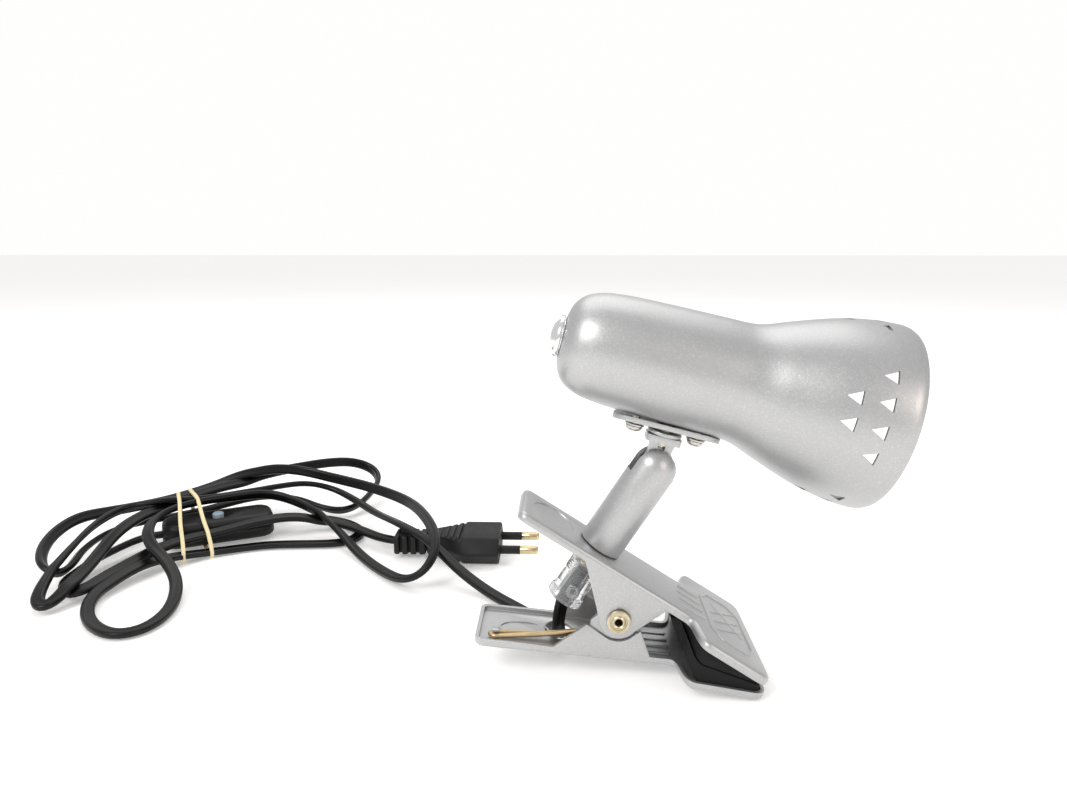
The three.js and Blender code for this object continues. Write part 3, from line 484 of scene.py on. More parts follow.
def swept(name, path, turns, section):
    """A closed mesh that carries a section along a path; turns are degrees from lying flat."""
    path = np.array(path)
    tangents = np.gradient(path, axis=0)
    tangents /= np.linalg.norm(tangents, axis=1, keepdims=True)
    normal = np.array((0.0, 1.0, 0.0))
    flat_side = []
    for t in tangents:
        side = np.cross((0, 0, 1.0), t)
        if np.linalg.norm(side) < 0.35:
            side = normal - t * normal.dot(t)
        side /= np.linalg.norm(side)
        if side.dot(normal) < 0 and flat_side:
            side = -side
        side = 0.75 * normal + 0.25 * side if flat_side else side
        side -= t * side.dot(t)
        normal = side / np.linalg.norm(side)
        flat_side.append(normal)
    verts, faces, uvs = [], [], []
    m = len(section)
    run = np.concatenate([[0], np.cumsum(np.linalg.norm(np.diff(path, axis=0), axis=1))])
    for i, (centre, t, side) in enumerate(zip(path, tangents, flat_side)):
        other = np.cross(t, side)
        a = math.radians(turns[i])
        wide, thin = side * math.cos(a) + other * math.sin(a), other * math.cos(a) - side * math.sin(a)
        for x, y in section:
            verts.append(centre + wide * x + thin * y)
    for i in range(len(path) - 1):
        for k in range(m):
            n = (k + 1) % m
            faces.append((i * m + k, i * m + n, (i + 1) * m + n, (i + 1) * m + k))
            uvs += [(k / m, run[i]), ((k + 1) / m, run[i]), ((k + 1) / m, run[i + 1]), (k / m, run[i + 1])]
    faces += [tuple(range(m))[::-1], tuple((len(path) - 1) * m + k for k in range(m))]
    uvs += [(0.5, 0)] * (2 * m)
    mesh = bpy.data.meshes.new(name)
    mesh.from_pydata([tuple(v) for v in verts], [], faces)
    layer = mesh.uv_layers.new(name="lead")
    layer.data.foreach_set("uv", np.array(uvs, np.float32).ravel())
    obj = bpy.data.objects.new(name, mesh)
    bpy.context.collection.objects.link(obj)
    return obj


def make_lead():
    step = 2.0
    run = smooth_run(RUN, step)
    path = settle(run, step)
    turns = np.convolve(np.pad(run[:, 3], 8, mode="edge"), np.ones(17) / 17, mode="valid")
    lead = swept("lead", path, turns, lead_section())
    set_in(lead, TABLE)
    for polygon in lead.data.polygons:
        polygon.use_smooth = True
    lead.data.materials.append(MATERIALS["cord_pvc"])
    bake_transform(lead)
    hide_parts("cord_riser", "cord_lead", "cord_loop", "cord_tail", "cord_hank_front",
                "cord_hank_back")
    long = float(np.linalg.norm(np.diff(path, axis=0), axis=1).sum()) / 1000
    return lead, path / 1000, long


lead, lead_path, lead_length = make_lead()


# ---------- modelling helpers, in millimetres ----------
def active():
    return bpy.context.view_layer.objects.active


def mode(kind):
    bpy.ops.object.mode_set(mode=kind)


def draw_out(step):
    bpy.ops.mesh.extrude_region_move(TRANSFORM_OT_translate={"value": step})


def face_out():
    """In edit mode, selects everything and turns its faces outward."""
    bpy.ops.mesh.select_all(action="SELECT")
    bpy.ops.mesh.normals_make_consistent(inside=False)


def wire(points):
    """A chain of edges, drawn by extruding a corner from each point to the next."""
    deselect()
    bpy.ops.mesh.primitive_plane_add(size=0.1)
    mode("EDIT")
    bpy.ops.mesh.select_mode(type="VERT")
    bpy.ops.mesh.select_all(action="SELECT")
    bpy.ops.mesh.merge(type="CENTER")
    points = [Vector(p) for p in points]
    bpy.ops.transform.translate(value=points[0])
    for a, b in zip(points, points[1:]):
        draw_out(b - a)
    bpy.ops.mesh.select_all(action="SELECT")
    return active()


def turned(profile, steps=72, turn=None):
    """A piece turned about Z from [radius, height] corners; turn sets it along another axis."""
    obj = wire([(r, 0, h) for r, h in profile])
    bpy.ops.mesh.spin(steps=steps, angle=2 * math.pi, center=(0, 0, 0), axis=(0, 0, 1))
    bpy.ops.mesh.select_all(action="SELECT")
    bpy.ops.mesh.remove_doubles(threshold=0.002)
    bpy.ops.mesh.normals_make_consistent(inside=False)
    mode("OBJECT")
    if turn:
        obj.matrix_world = turn
        pick(obj)
        apply_place()
    return obj


def collar(inner, outer, low, high, steps=48, turn=None):
    return turned([(inner, low), (outer, low), (outer, high), (inner, high), (inner, low)], steps, turn)


def prism(corners, depth):
    """A face through these 3-D corners, drawn out by depth."""
    obj = wire(corners)
    bpy.ops.mesh.edge_face_add()
    draw_out(depth)
    face_out()
    mode("OBJECT")
    return obj


def side_prism(outline, low, high):
    """A side outline in X and Z, drawn across from low to high."""
    return prism([(x, low, z) for x, z in outline], (0, high - low, 0))


def plan_prism(outline, low, high):
    return prism([(x, y, low) for x, y in outline], (0, 0, high - low))


def block(low, high):
    deselect()
    size = [b - a for a, b in zip(low, high)]
    bpy.ops.mesh.primitive_cube_add(size=1, location=[(a + b) / 2 for a, b in zip(low, high)], scale=size)
    apply_place()
    return active()


def rod(radius, low, high, at=(0, 0, 0), axis="Z", vertices=48):
    """A plain round bar, used as a cutter or a blank."""
    deselect()
    middle, long = (low + high) / 2, high - low
    turn = {"Z": (0, 0, 0), "X": (0, math.pi / 2, 0), "Y": (math.pi / 2, 0, 0)}[axis]
    step = {"Z": (0, 0, middle), "X": (middle, 0, 0), "Y": (0, middle, 0)}[axis]
    bpy.ops.mesh.primitive_cylinder_add(vertices=vertices, radius=radius, depth=long,
                                        location=Vector(at) + Vector(step), rotation=turn)
    apply_place()
    return active()


def combine(obj, others, operation):
    for other in others:
        modifier = obj.modifiers.new("combine", "BOOLEAN")
        modifier.operation, modifier.solver, modifier.object = operation, "EXACT", other
        pick(obj)
        bpy.ops.object.modifier_apply(modifier=modifier.name)
        bpy.data.objects.remove(other)
    return obj


def cut(obj, *cutters): return combine(obj, cutters, "DIFFERENCE")
def fuse(obj, *others): return combine(obj, others, "UNION")
def common(obj, *others): return combine(obj, others, "INTERSECT")


def apply_modifier(obj, kind, **settings):
    modifier = obj.modifiers.new(kind.lower(), kind)
    for key, value in settings.items():
        setattr(modifier, key, value)
    pick(obj)
    bpy.ops.object.modifier_apply(modifier=modifier.name)
    return obj


def soften(obj, width, segments=3, angle=32):
    """Rounds every hard edge of a piece."""
    return apply_modifier(obj, "BEVEL", width=width, segments=segments, limit_method="ANGLE",
                          angle_limit=math.radians(angle), miter_outer="MITER_ARC",
                          use_clamp_overlap=True)


def together(first, *others):
    """Several loose bodies as one object."""
    pick(first)
    for other in others:
        other.select_set(True)
    bpy.ops.object.join()
    return first


def arc(radius, start, end, steps, centre=(0, 0)):
    return [(centre[0] + radius * math.cos(math.radians(start + (end - start) * i / steps)),
             centre[1] + radius * math.sin(math.radians(start + (end - start) * i / steps)))
            for i in range(steps + 1)]


def rounded(x0, x1, y0, y1, r, steps=6):
    """A rectangle with round corners."""
    return (arc(r, 180, 270, steps, (x0 + r, y0 + r)) + arc(r, 270, 360, steps, (x1 - r, y0 + r))
            + arc(r, 0, 90, steps, (x1 - r, y1 - r)) + arc(r, 90, 180, steps, (x0 + r, y1 - r)))


def select(test, kind="VERT"):
    """In edit mode, selects the corners, edges or faces whose middle passes test."""
    bpy.ops.mesh.select_mode(type=kind)
    bpy.ops.mesh.select_all(action="DESELECT")
    mesh = bmesh.from_edit_mesh(active().data)
    for item in {"VERT": mesh.verts, "EDGE": mesh.edges, "FACE": mesh.faces}[kind]:
        if kind == "VERT":
            item.select_set(bool(test(item.co)))
        elif kind == "EDGE":
            item.select_set(all(test(v.co) for v in item.verts))
        else:
            item.select_set(bool(test(item.calc_center_median())))
    mesh.select_flush_mode()
    bmesh.update_edit_mesh(active().data)


def smooth_profile(points, step):
    """Points a step apart on a smooth line through [radius, height] corners."""
    run = smooth_run([(r, h, 0, 0) for r, h in points], step)
    return [(float(r), float(h)) for r, h in run[:, :2]]


# ---------- the head ----------
SHADE = [(6.6, 0.7), (9.6, 1.2), (13, 2.6), (16.1, 5.6), (18.2, 10.5), (19.4, 18), (20.15, 34),
         (20.65, 54), (20.95, 64), (21.9, 68.5), (24.7, 76), (30, 92), (32.1, 102), (32.85, 109),
         (32.85, 113.5), (32.1, 115.2)]


def make_shade():
    """The spun shade: a rounded barrel that flares to a rolled mouth, with punched vents."""
    shade = turned(smooth_profile(SHADE, 1.5), 160, ALONG_X)
    apply_modifier(shade, "SOLIDIFY", thickness=1.0, offset=-1, material_offset=1,
                   use_even_offset=True)
    vents = []
    for group in range(4):
        for s, places in ((103, (-1.5, -0.5, 0.5, 1.5)), (93.5, (-0.5, 0.5))):
            for k in places:
                vent = prism([(s - 2.5, 0, 20), (s + 2.3, -2.4, 20), (s + 2.3, 2.4, 20)], (0, 0, 24))
                vent.matrix_world = Matrix.Rotation(math.radians(82.5 + 90 * group + k * 16.1), 4, "X")
                vents.append(vent)
    for vent in vents:
        pick(vent)
        apply_place()
    holes = [rod(4.7, -30, -10, (NECK_S, 0, 0)), rod(1.7, -30, -10, (SCREWS[0], 0, 0)),
             rod(1.7, -30, -10, (SCREWS[1], 0, 0))]
    cut(shade, together(*vents), together(*holes))
    finish_piece(shade, "shade", HEAD, "head", "silver_paint", ("head_shade",), 28)
    # the inside faces take the darker copy of the paint: painted shade
    shade.data.materials.append(MATERIALS["silver_inside"])


def make_rear_cap():
    """Snap-in cap at the shade's rear: a rolled flange round a shallow dome."""
    dome = [(0, -3.4), (1.6, -3.35), (3.1, -3.1), (4.3, -2.7), (5.2, -2.1), (5.9, -1.35)]
    cap = turned(dome + [(6.3, -1.0), (6.9, -1.25), (7.35, -1.1), (7.6, -0.6), (7.6, 0.0), (7.35, 0.4),
                         (6.1, 0.45), (6.1, 3.2), (5.5, 3.2), (5.3, 0.4), (4.2, -1.4), (0, -2.4)],
                 72, ALONG_X)
    finish_piece(cap, "rear_cap_dome", HEAD, "head", "chrome", ("rear_cap",), 40)


def make_saddle():
    """The curved plate under the shade, with its two screws and washers."""
    plate = collar(21.25, 22.85, 22, 68, 180, ALONG_X)
    common(plate, plan_prism(rounded(NECK_S - 19.5, NECK_S + 19.5, -7, 7, 6.9, 10), -30, -10))
    cut(plate, rod(2.6, -30, -10, (NECK_S, 0, 0)), rod(1.65, -30, -10, (SCREWS[0], 0, 0)),
        rod(1.65, -30, -10, (SCREWS[1], 0, 0)))
    soften(plate, 0.35, 3, 40)
    finish_piece(plate, "saddle_plate", HEAD, "head", "silver_paint", ("head_plate",), 35)
    head = -24.05
    for name, s in zip(("rear", "front"), SCREWS):
        screw = turned([(0, head - 2), (1.2, head - 1.95), (2.1, head - 1.7), (2.7, head - 1.2),
                        (3, head - 0.6), (3, head), (1.5, head), (1.5, -15.5), (0, -15.5)], 48)
        cross = fuse(block((-1.7, -0.33, head - 3), (1.7, 0.33, head - 0.9)),
                     block((-0.33, -1.7, head - 3), (0.33, 1.7, head - 0.9)))
        cross.matrix_world = Matrix.Rotation(math.radians(20 if name == "rear" else 65), 4, "Z")
        cut(screw, cross)
        soften(screw, 0.12, 2, 40)
        finish_piece(screw, "saddle_screw_" + name, HEAD @ Matrix.Translation((s, 0, 0)), "head",
                     "steel_plate",
                     ("plate_screw_" + name,), 40)
        washer = soften(collar(1.6, 3.5, -23.8, -23.15), 0.12, 2)
        finish_piece(washer, "saddle_washer_" + name, HEAD @ Matrix.Translation((s, 0, 0)), "head",
                     "steel_plate",
                     ("plate_washer_" + name,), 40)


def make_lampholder():
    """What is inside the shade: bracket, hollow screw and nut, and the small screw lampholder."""
    bracket = plan_prism(rounded(19.6, 64, -5, 5, 2), -17, -15.6)
    fuse(bracket, rod(8.6, 19.6, 21, axis="X"), block((19.6, -5, -17), (21, 5, -5)),
         rod(3.2, -18.85, -15.7, (SCREWS[0], 0, 0)), rod(3.2, -19.15, -15.7, (SCREWS[1], 0, 0)))
    cut(bracket, rod(1.55, -25, -10, (SCREWS[0], 0, 0)), rod(1.55, -25, -10, (SCREWS[1], 0, 0)),
        rod(4.2, 15, 25, axis="X"), rod(2.6, -25, -10, (NECK_S, 0, 0)))
    soften(bracket, 0.3, 2, 40)
    finish_piece(bracket, "bracket", HEAD, "head", "steel_plate", ("holder_bracket",), 35)

    thread = [(4.0 - 0.22 * (i % 2), 14.6 + 0.5 * i) for i in range(23)]
    nipple = turned([(2.9, 14.6)] + thread + [(2.9, 25.6), (2.9, 14.6)], 48, ALONG_X)
    finish_piece(nipple, "hollow_screw", HEAD, "head", "steel_plate", ("holder_nipple",), 20)
    nut = cut(rod(7, 16.2, 19.3, axis="X", vertices=6), rod(4.1, 16, 20, axis="X"))
    common(nut, turned([(0, 16.2), (6.2, 16.2), (7.1, 17), (7.1, 18.5), (6.2, 19.3), (0, 19.3)], 48,
                       ALONG_X))
    soften(nut, 0.12, 2, 25)
    finish_piece(nut, "hex_nut", HEAD, "head", "steel_plate", ("holder_nut",), 30)

    body = turned([(4.1, 21.3), (9.0, 21.3), (9.4, 21.5), (12.0, 23.9), (12.2, 24.4), (12.4, 34),
                   (12.8, 34.4),
                   (12.8, 36.4), (12.4, 36.8), (12.05, 60.6), (11.6, 61), (9.3, 61), (9, 60.7), (9, 32),
                   (6.8, 30.4), (4.1, 30.4), (4.1, 21.3)], 96, ALONG_X)
    ribs = [rod(0.45, 38, 58, (0, 12.3 * math.sin(a), 12.3 * math.cos(a)), "X", 12)
            for a in np.linspace(0, 2 * math.pi, 24, endpoint=False)]
    body = together(body, *ribs)
    finish_piece(body, "lampholder", HEAD, "head", "black_plastic", ("lampholder_body",), 35)
    core = soften(turned([(1.5, 33), (8.7, 33), (8.7, 37.4), (6, 37.4), (5.4, 36.6), (1.5, 36.6), (1.5, 33)],
                         72, ALONG_X), 0.2, 2)
    finish_piece(core, "lampholder_base", HEAD, "head", "ceramic", ("lampholder_core",), 35)
    wave = [(7.5 + 0.22 * math.cos(2 * math.pi * s / 2.82), 37.8 + s) for s in np.arange(0, 19.3, 0.35)]
    shell = turned([(r - 0.14, s) for r, s in wave] + [(r + 0.14, s) for r, s in wave[::-1]]
                   + [(wave[0][0] - 0.14, wave[0][1])], 64, ALONG_X)
    finish_piece(shell, "thread_shell", HEAD, "head", "brass", ("screw_shell",), 40)
    contact = turned([(0, 33.6), (1.2, 33.6), (1.2, 37.7), (2.6, 38), (2.4, 38.8), (1.2, 39.3), (0, 39.4)],
                     36, ALONG_X)
    finish_piece(contact, "foot_contact", HEAD, "head", "brass", ("centre_contact",), 40)


make_shade()
make_rear_cap()
make_saddle()
make_lampholder()


# ---------- the clip ----------
ARM_HALF, JAW_HALF, REAR_U, TIP_U = 14.5, 28.5, -50.5, 51.3
FLOOR_V, TOP_V, RIM, SHEET = -15.7, 15.6, 3.1, 1.4


def clip_outline(stations, inset=0.0):
    """Plan outline of an arm and its jaw, with corners at these places along its straight sides."""
    w, j, rear, tip = ARM_HALF - inset, JAW_HALF - inset, REAR_U + inset, TIP_U - inset
    waist, shoulder, rear_r, tip_r = 19.5 + inset, 27 + inset, 3.4 - inset, 4.6 - inset
    places = sorted(s for s in stations if rear + rear_r + 0.5 < s < waist - 0.5)
    curve = []
    for i in range(1, 13):
        t = i / 12
        b = ((1 - t) ** 3, 3 * t * (1 - t) ** 2, 3 * t * t * (1 - t), t ** 3)
        curve.append((b[0] * waist + b[1] * (waist + 4.5) + b[2] * (waist + 1.5) + b[3] * shoulder,
                      (b[0] + b[1]) * w + (b[2] + b[3]) * j))
    far = ([(rear + rear_r, w)] + [(s, w) for s in places] + [(waist, w)] + curve + [(36, j)]
           + arc(tip_r, 90, 0, 6, (tip - tip_r, j - tip_r)))
    corner = arc(rear_r, 180, 90, 6, (rear + rear_r, w - rear_r))[:-1]
    half = corner + far
    return half + [(x, -y) for x, y in half[::-1]]


def raise_each(test, to):
    """In edit mode, moves each selected corner up or down to the height that to gives for it."""
    while True:
        mesh = bmesh.from_edit_mesh(active().data)
        moves = {}
        for v in mesh.verts:
            if test(v.co):
                moves.setdefault((round(v.co.x, 2), round(v.co.z, 3)), []).append(v.index)
        pending = [(key, to(key[0])) for key in moves if abs(to(key[0]) - key[1]) > 1e-3]
        if not pending:
            return
        (x, z), target = pending[0]
        select(lambda co: test(co) and abs(co.x - x) < 0.02 and abs(co.z - z) < 2e-3)
        bpy.ops.transform.translate(value=(0, 0, target - z))


def between(points):
    """A straight-line height along these [place, height] corners."""
    xs, zs = zip(*points)
    return lambda x: float(np.interp(x, xs, zs))


def folded_tray(outline, sheet_face, rim_edge, fold=1.7):
    """An open tray: a face with its rim folded towards rim_edge, still without thickness."""
    tray = wire([(x, y, sheet_face) for x, y in outline])
    bpy.ops.mesh.edge_face_add()
    draw_out((0, 0, rim_edge - sheet_face))
    bpy.ops.mesh.delete(type="ONLY_FACE")
    face_out()
    select(lambda co: abs(co.z - sheet_face) < 1e-3, "EDGE")
    bpy.ops.mesh.bevel(offset=fold, segments=5, profile=0.5)
    return tray


def ridge(outline, low, high, width=0.5):
    """A low raised shape pressed up out of a face."""
    return soften(plan_prism(outline, low, high), width, 3, 40)


def make_upper_arm():
    """Upper arm and jaw: one pressing with folded rims, two ears, a thumb dish and raised relief."""
    ear_u = [-22.2, -18, -14, -9.5] + [x for x, _ in arc(6.6, 222, 333, 12)] + [7.6, 9.8, 12]
    tray = folded_tray(clip_outline(ear_u), TOP_V, TOP_V - RIM)
    ear = between([(-22.2, TOP_V - RIM)] + arc(6.6, 222, 333, 12) + [(12, TOP_V - RIM)])
    on_side = lambda co: abs(abs(co.y) - ARM_HALF) < 0.01 and -22.3 < co.x < 12.1
    select(lambda co: on_side(co) and abs(co.z - TOP_V + RIM) < 0.01, "EDGE")
    draw_out((0, 0, -0.01))
    raise_each(lambda co: on_side(co) and co.z < TOP_V - RIM - 0.005,
               lambda x: min(ear(x), TOP_V - RIM - 0.01))
    mode("OBJECT")
    apply_modifier(tray, "SOLIDIFY", thickness=SHEET, offset=-1, use_even_offset=False)
    cut(tray, rod(3.1, -20, 20, axis="Y"), rod(5.3, 5, 30, (TUBE_U, 0, 0)))
    dish = rod(9, 0, 4, vertices=64)
    dish.matrix_world = Matrix.Translation((-37.5, 0, TOP_V - 0.45))
    set_scale(dish, (0.95, 1.05, 1))
    cut(tray, dish)
    soften(tray, 0.28, 2, 38)
    relief = []
    top = TOP_V - 0.2
    frame_out, frame_in = [(29, -13), (33, -19), (44, -19), (47.5, -13), (47.5, 13), (44, 19), (33, 19),
                           (29, 13)], 1.1
    outer = plan_prism(frame_out, top, TOP_V + 0.32)
    shrunk = [(38.3 + (x - 38.3) * (1 - frame_in / 9.3), y * (1 - frame_in / 19)) for x, y in frame_out]
    cut(outer, plan_prism(shrunk, top - 1, TOP_V + 2))
    relief.append(soften(outer, 0.2, 2, 30))
    for y in (-9, -3, 3, 9):
        relief.append(ridge(rounded(16 + abs(y) * 0.25, 27.5, y - 0.55, y + 0.55, 0.5, 3), top,
                            TOP_V + 0.35, 0.2))
    for y0, y1 in ((-11, -3.5), (-4.5, 3), (2.5, 11)):
        relief.append(ridge([(32.2, y0), (33.4, y0), (45.2, y1 + 2), (44.0, y1 + 2)], top, TOP_V + 0.28,
                            0.12))
    relief.append(ridge([(34, 12.5), (35.1, 13.2), (44.4, -6.5), (43.4, -7.2)], top, TOP_V + 0.22, 0.12))
    together(tray, *relief)
    finish_piece(tray, "upper_clip_arm", UPPER, "upper_clip", "silver_paint", ("upper_arm",), 35)


def set_scale(obj, factors):
    pick(obj)
    obj.scale = factors
    apply_place()


def make_lower_arm():
    """Lower arm and jaw: cheeks that step in to the ears, floor ribs, an oval and the spring's hook."""
    rim_top = FLOOR_V + RIM
    cheek_line = ([(-22, rim_top), (-11, -2.6)] + arc(7.9, 243, 305, 6) + [(8.2, -3.1), (12.6, rim_top)])
    ear_line = ([(-9.6, -1.4)] + arc(6.2, 150, 18, 12) + [(6.2, 0.0)])
    stations = sorted({round(x, 3) for x in [-16.5, 10.4] + [x for x, _ in cheek_line + ear_line]})
    tray = folded_tray(clip_outline(stations), FLOOR_V, rim_top)
    cheek = between(cheek_line)
    on_side = lambda co: abs(abs(co.y) - ARM_HALF) < 0.01 and -22.1 < co.x < 12.7
    select(lambda co: on_side(co) and abs(co.z - rim_top) < 0.01, "EDGE")
    draw_out((0, 0, 0.01))
    raise_each(lambda co: on_side(co) and co.z > rim_top + 0.005, lambda x: max(cheek(x), rim_top + 0.01))
    ear = between(ear_line)
    in_ear = lambda co: -9.7 < co.x < 6.3
    for side in (-1, 1):
        on_top = lambda co: (abs(co.y - side * ARM_HALF) < 0.01 and in_ear(co)
                             and abs(co.z - max(cheek(co.x), rim_top + 0.01)) < 0.02)
        select(on_top, "EDGE")
        draw_out((0, -side * 1.55, 0.25))
        draw_out((0, 0, 0.3))
        lifted = lambda co: (abs(co.y - side * (ARM_HALF - 1.55)) < 0.01 and in_ear(co)
                             and co.z > cheek(co.x) + 0.4)
        raise_each(lifted, lambda x: max(ear(x), cheek(x) + 0.5))
    select(lambda co: co.x > 24)
    bpy.ops.transform.rotate(value=JAW_TURN, orient_axis="Y", center_override=(24, 0, FLOOR_V))
    mode("OBJECT")
    apply_modifier(tray, "SOLIDIFY", thickness=SHEET, offset=-1, use_even_offset=False)
    hole = plan_prism([(x, y + 2.2) for x, y in rounded(-25.2, -14.6, -7, 7, 4.6)], FLOOR_V - 2, FLOOR_V + 4)
    cut(tray, rod(3.1, -20, 20, axis="Y"), hole)
    soften(tray, 0.28, 2, 38)
    floor = FLOOR_V + SHEET
    relief = [ridge(rounded(-9, 21, y - 1.0, y + 1.0, 0.9, 3), floor - 0.2, floor + 0.55, 0.35)
              for y in (-7.5, -2.5, 2.5, 7.5)]
    ring_out = plan_prism([(-33 + 9.5 * x, 5.6 * y) for x, y in arc(1, 0, 350, 35)], floor - 0.2,
                          floor + 0.4)
    cut(ring_out, plan_prism([(-33 + 8.9 * x, 5.0 * y) for x, y in arc(1, 0, 350, 35)], floor - 1,
                             floor + 2))
    relief.append(ring_out)
    hook = soften(side_prism([(-44.6, floor - 0.2), (-43.9, floor - 0.2), (-43.9, -11.3), (-42.1, -11.3),
                              (-42.1, -10.6), (-44.6, -10.6)], -10.0, -7.4), 0.15, 2)
    relief.append(hook)
    together(tray, *relief)
    finish_piece(tray, "lower_clip_arm", LOWER, "lower_clip", "silver_paint", ("lower_arm",), 35)


JAW_TURN = math.radians(-4)
MEET = [(22.1, 2.6), (23.2, 0.2), (26.4, -5.3), (28.5, -6.85), (50.2, -12.4)]


def make_pads():
    """The two rubber jaw pads, whose stepped faces meet all the way to the tip."""
    clear = 0.16
    face = [(u - clear, v - clear) for u, v in MEET]
    low = side_prism([(18.6, 2.5), (19.3, 0.3), (22.9, -7), (26.4, -11.8), (28.2, -14.4), (50, -15.8)]
                     + face[::-1], -JAW_HALF, JAW_HALF)
    common(low, plan_prism(clip_outline([], SHEET + 0.3), -40, 10))
    soften(low, 0.7, 3, 24)
    finish_piece(low, "lower_jaw_pad", LOWER, "lower_clip", "black_rubber", ("lower_pad",), 30)
    turn = math.radians(32.5 - 5.4)
    face = [(u * math.cos(turn) - v * math.sin(turn) + clear * 0.5,
             u * math.sin(turn) + v * math.cos(turn) + clear) for u, v in MEET]
    top = TOP_V - SHEET - 0.25
    high = side_prism([(19.4, top)] + face + [(50.1, top)], -JAW_HALF, JAW_HALF)
    common(high, plan_prism(clip_outline([], SHEET + 0.3), -10, 40))
    soften(high, 0.7, 3, 24)
    finish_piece(high, "upper_jaw_pad", UPPER, "upper_clip", "black_rubber", ("upper_pad",), 30)


def make_pivot():
    """Hollow rivet of the clip hinge, rolled over at both ends, and the double torsion spring."""
    lip = [(1.3, 15.3), (1.45, 16.0), (1.8, 16.25), (2.35, 16.0), (2.6, 15.5), (2.85, 15.5), (3.1, 16.0),
           (3.6, 16.2), (4.2, 15.9), (4.4, 15.4), (4.3, 14.95), (3.0, 14.85)]
    rivet = turned([(r, h) for r, h in lip] + [(r, -h) for r, h in lip[::-1]] + [lip[0]], 64, ALONG_Y)
    finish_piece(rivet, "hinge_rivet", LOWER, "lower_clip", "zinc_plate", ("pivot_rivet",), 40)

    wire_r, coil, turns, per_turn = 0.95, 4.9, 2.25, 20

    def half(rear_y, leg_y, end_y, middle):
        leg = [(-43.6, rear_y, -12.9), (-42, rear_y, -12.8), *middle]
        n = round(turns * per_turn)
        coils = [(coil * math.cos(math.radians(270 + 360 * i / per_turn)), leg_y + (end_y - leg_y) * i / n,
                  coil * math.sin(math.radians(270 + 360 * i / per_turn))) for i in range(n + 1)]
        return leg + coils + [(5.2, end_y, 4.5), (3.9, end_y, 11.6), (0.6, end_y, 13.9)]
    outer_leg = [(-24, -10.2, -9.6), (-8, -10.2, -6.3)]
    inner_leg = [(-26, -5.6, -12.4), (-11, -3.8, -11.4), (-5.5, -3.2, -8.6)]  # low, under the grip
    path = smooth_run([(*p, 0) for p in half(-10.2, -10.2, -5.3, outer_leg)[::-1] + [(-45.2, -8.6, -12.9)]
                       + half(-7, -3.1, 1.8, inner_leg)], 0.6)[:, :3]
    section = [(wire_r * math.cos(a), wire_r * math.sin(a))
               for a in np.linspace(0, 2 * math.pi, 12, endpoint=False)]
    spring = swept("double_spring", path, np.zeros(len(path)), section)
    set_in(spring, LOWER)
    smooth(spring, 60)
    spring.data.materials.clear()
    spring.data.materials.append(MATERIALS["spring_wire"])
    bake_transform(spring)
    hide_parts("torsion_spring")


# ---------- the arm tube and the neck ----------
def make_tube():
    """Painted tube with a domed top, slotted for the tongue, on its threaded nipple."""
    r, top, solid_from, bore = 8.15, TILT_V + 8.15, TILT_V - 9, 7.15
    outside = ([(bore, TOP_V + 0.3), (r - 0.5, TOP_V + 0.3), (r - 0.15, TOP_V + 0.45), (r, TOP_V + 0.8),
                (r, TILT_V - 4), (r, TILT_V)] + arc(r, 6, 84, 14, (0, TILT_V)) + [(0, top)])
    tube = turned(outside, 96)
    closed = turned([(0, TOP_V + 0.3), (bore, TOP_V + 0.3)], 96)
    tube = together(tube, closed)
    pick(tube)
    mode("EDIT")
    bpy.ops.mesh.select_all(action="SELECT")
    bpy.ops.mesh.remove_doubles(threshold=0.01)
    bpy.ops.mesh.normals_make_consistent(inside=False)
    mode("OBJECT")
    cut(tube, rod(bore, 0, solid_from, vertices=64))
    slot = side_prism([(-12, TILT_V - 4), (0, TILT_V - 6), (12, TILT_V + 2.5), (12, TILT_V + 12),
                       (-12, TILT_V + 12)], -3.65, 3.65)
    cut(tube, slot, rod(7.5, -3.65, 3.65, (0, 0, TILT_V), "Y", 64),
        rod(2, TILT_V - 12, TILT_V, (-3.4, 0, 0)))
    cut(tube, rod(2.05, -5.9, 9, (0, 0, TILT_V), "Y"))
    soften(tube, 0.4, 3, 42)
    finish_piece(tube, "painted_tube", TUBE, "upper_clip", "silver_paint", ("arm_tube",), 35)

    insert = soften(collar(5.2, 7.05, TOP_V + 0.3, TOP_V + 9, 64), 0.2, 2)
    finish_piece(insert, "tube_bush", TUBE, "upper_clip", "zinc_plate", ("tube_insert",), 35)
    thread = [(5.0 - 0.22 * (i % 2), 7.2 + 0.5 * i) for i in range(33)]
    nipple = turned([(3.6, 7.2)] + thread + [(3.6, thread[-1][1]), (3.6, 7.2)], 56)
    finish_piece(nipple, "threaded_stem", TUBE, "upper_clip", "zinc_plate", ("threaded_nipple",), 20)
    pin = turned([(0, -7.5), (1.7, -7.4), (2.0, -7.1), (2.0, 5.4), (1.7, 5.7), (0, 5.7)], 48, ALONG_Y)
    finish_piece(pin, "tilt_pin_bar", TUBE @ Matrix.Translation((0, 0, TILT_V)), "upper_clip",
                 "steel_plate", ("tilt_pin",), 40)
    for name, low in (("near", 2.4), ("far", -3.55)):
        washer = collar(2.1, 5.8, low, low + 1.05, 56, ALONG_Y)
        wave = soften(washer, 0.15, 2)
        finish_piece(wave, "fibre_washer_" + name, TUBE @ Matrix.Translation((0, 0, TILT_V)), "upper_clip",
                     "black_rubber",
                     ("friction_washer_" + name,), 40)


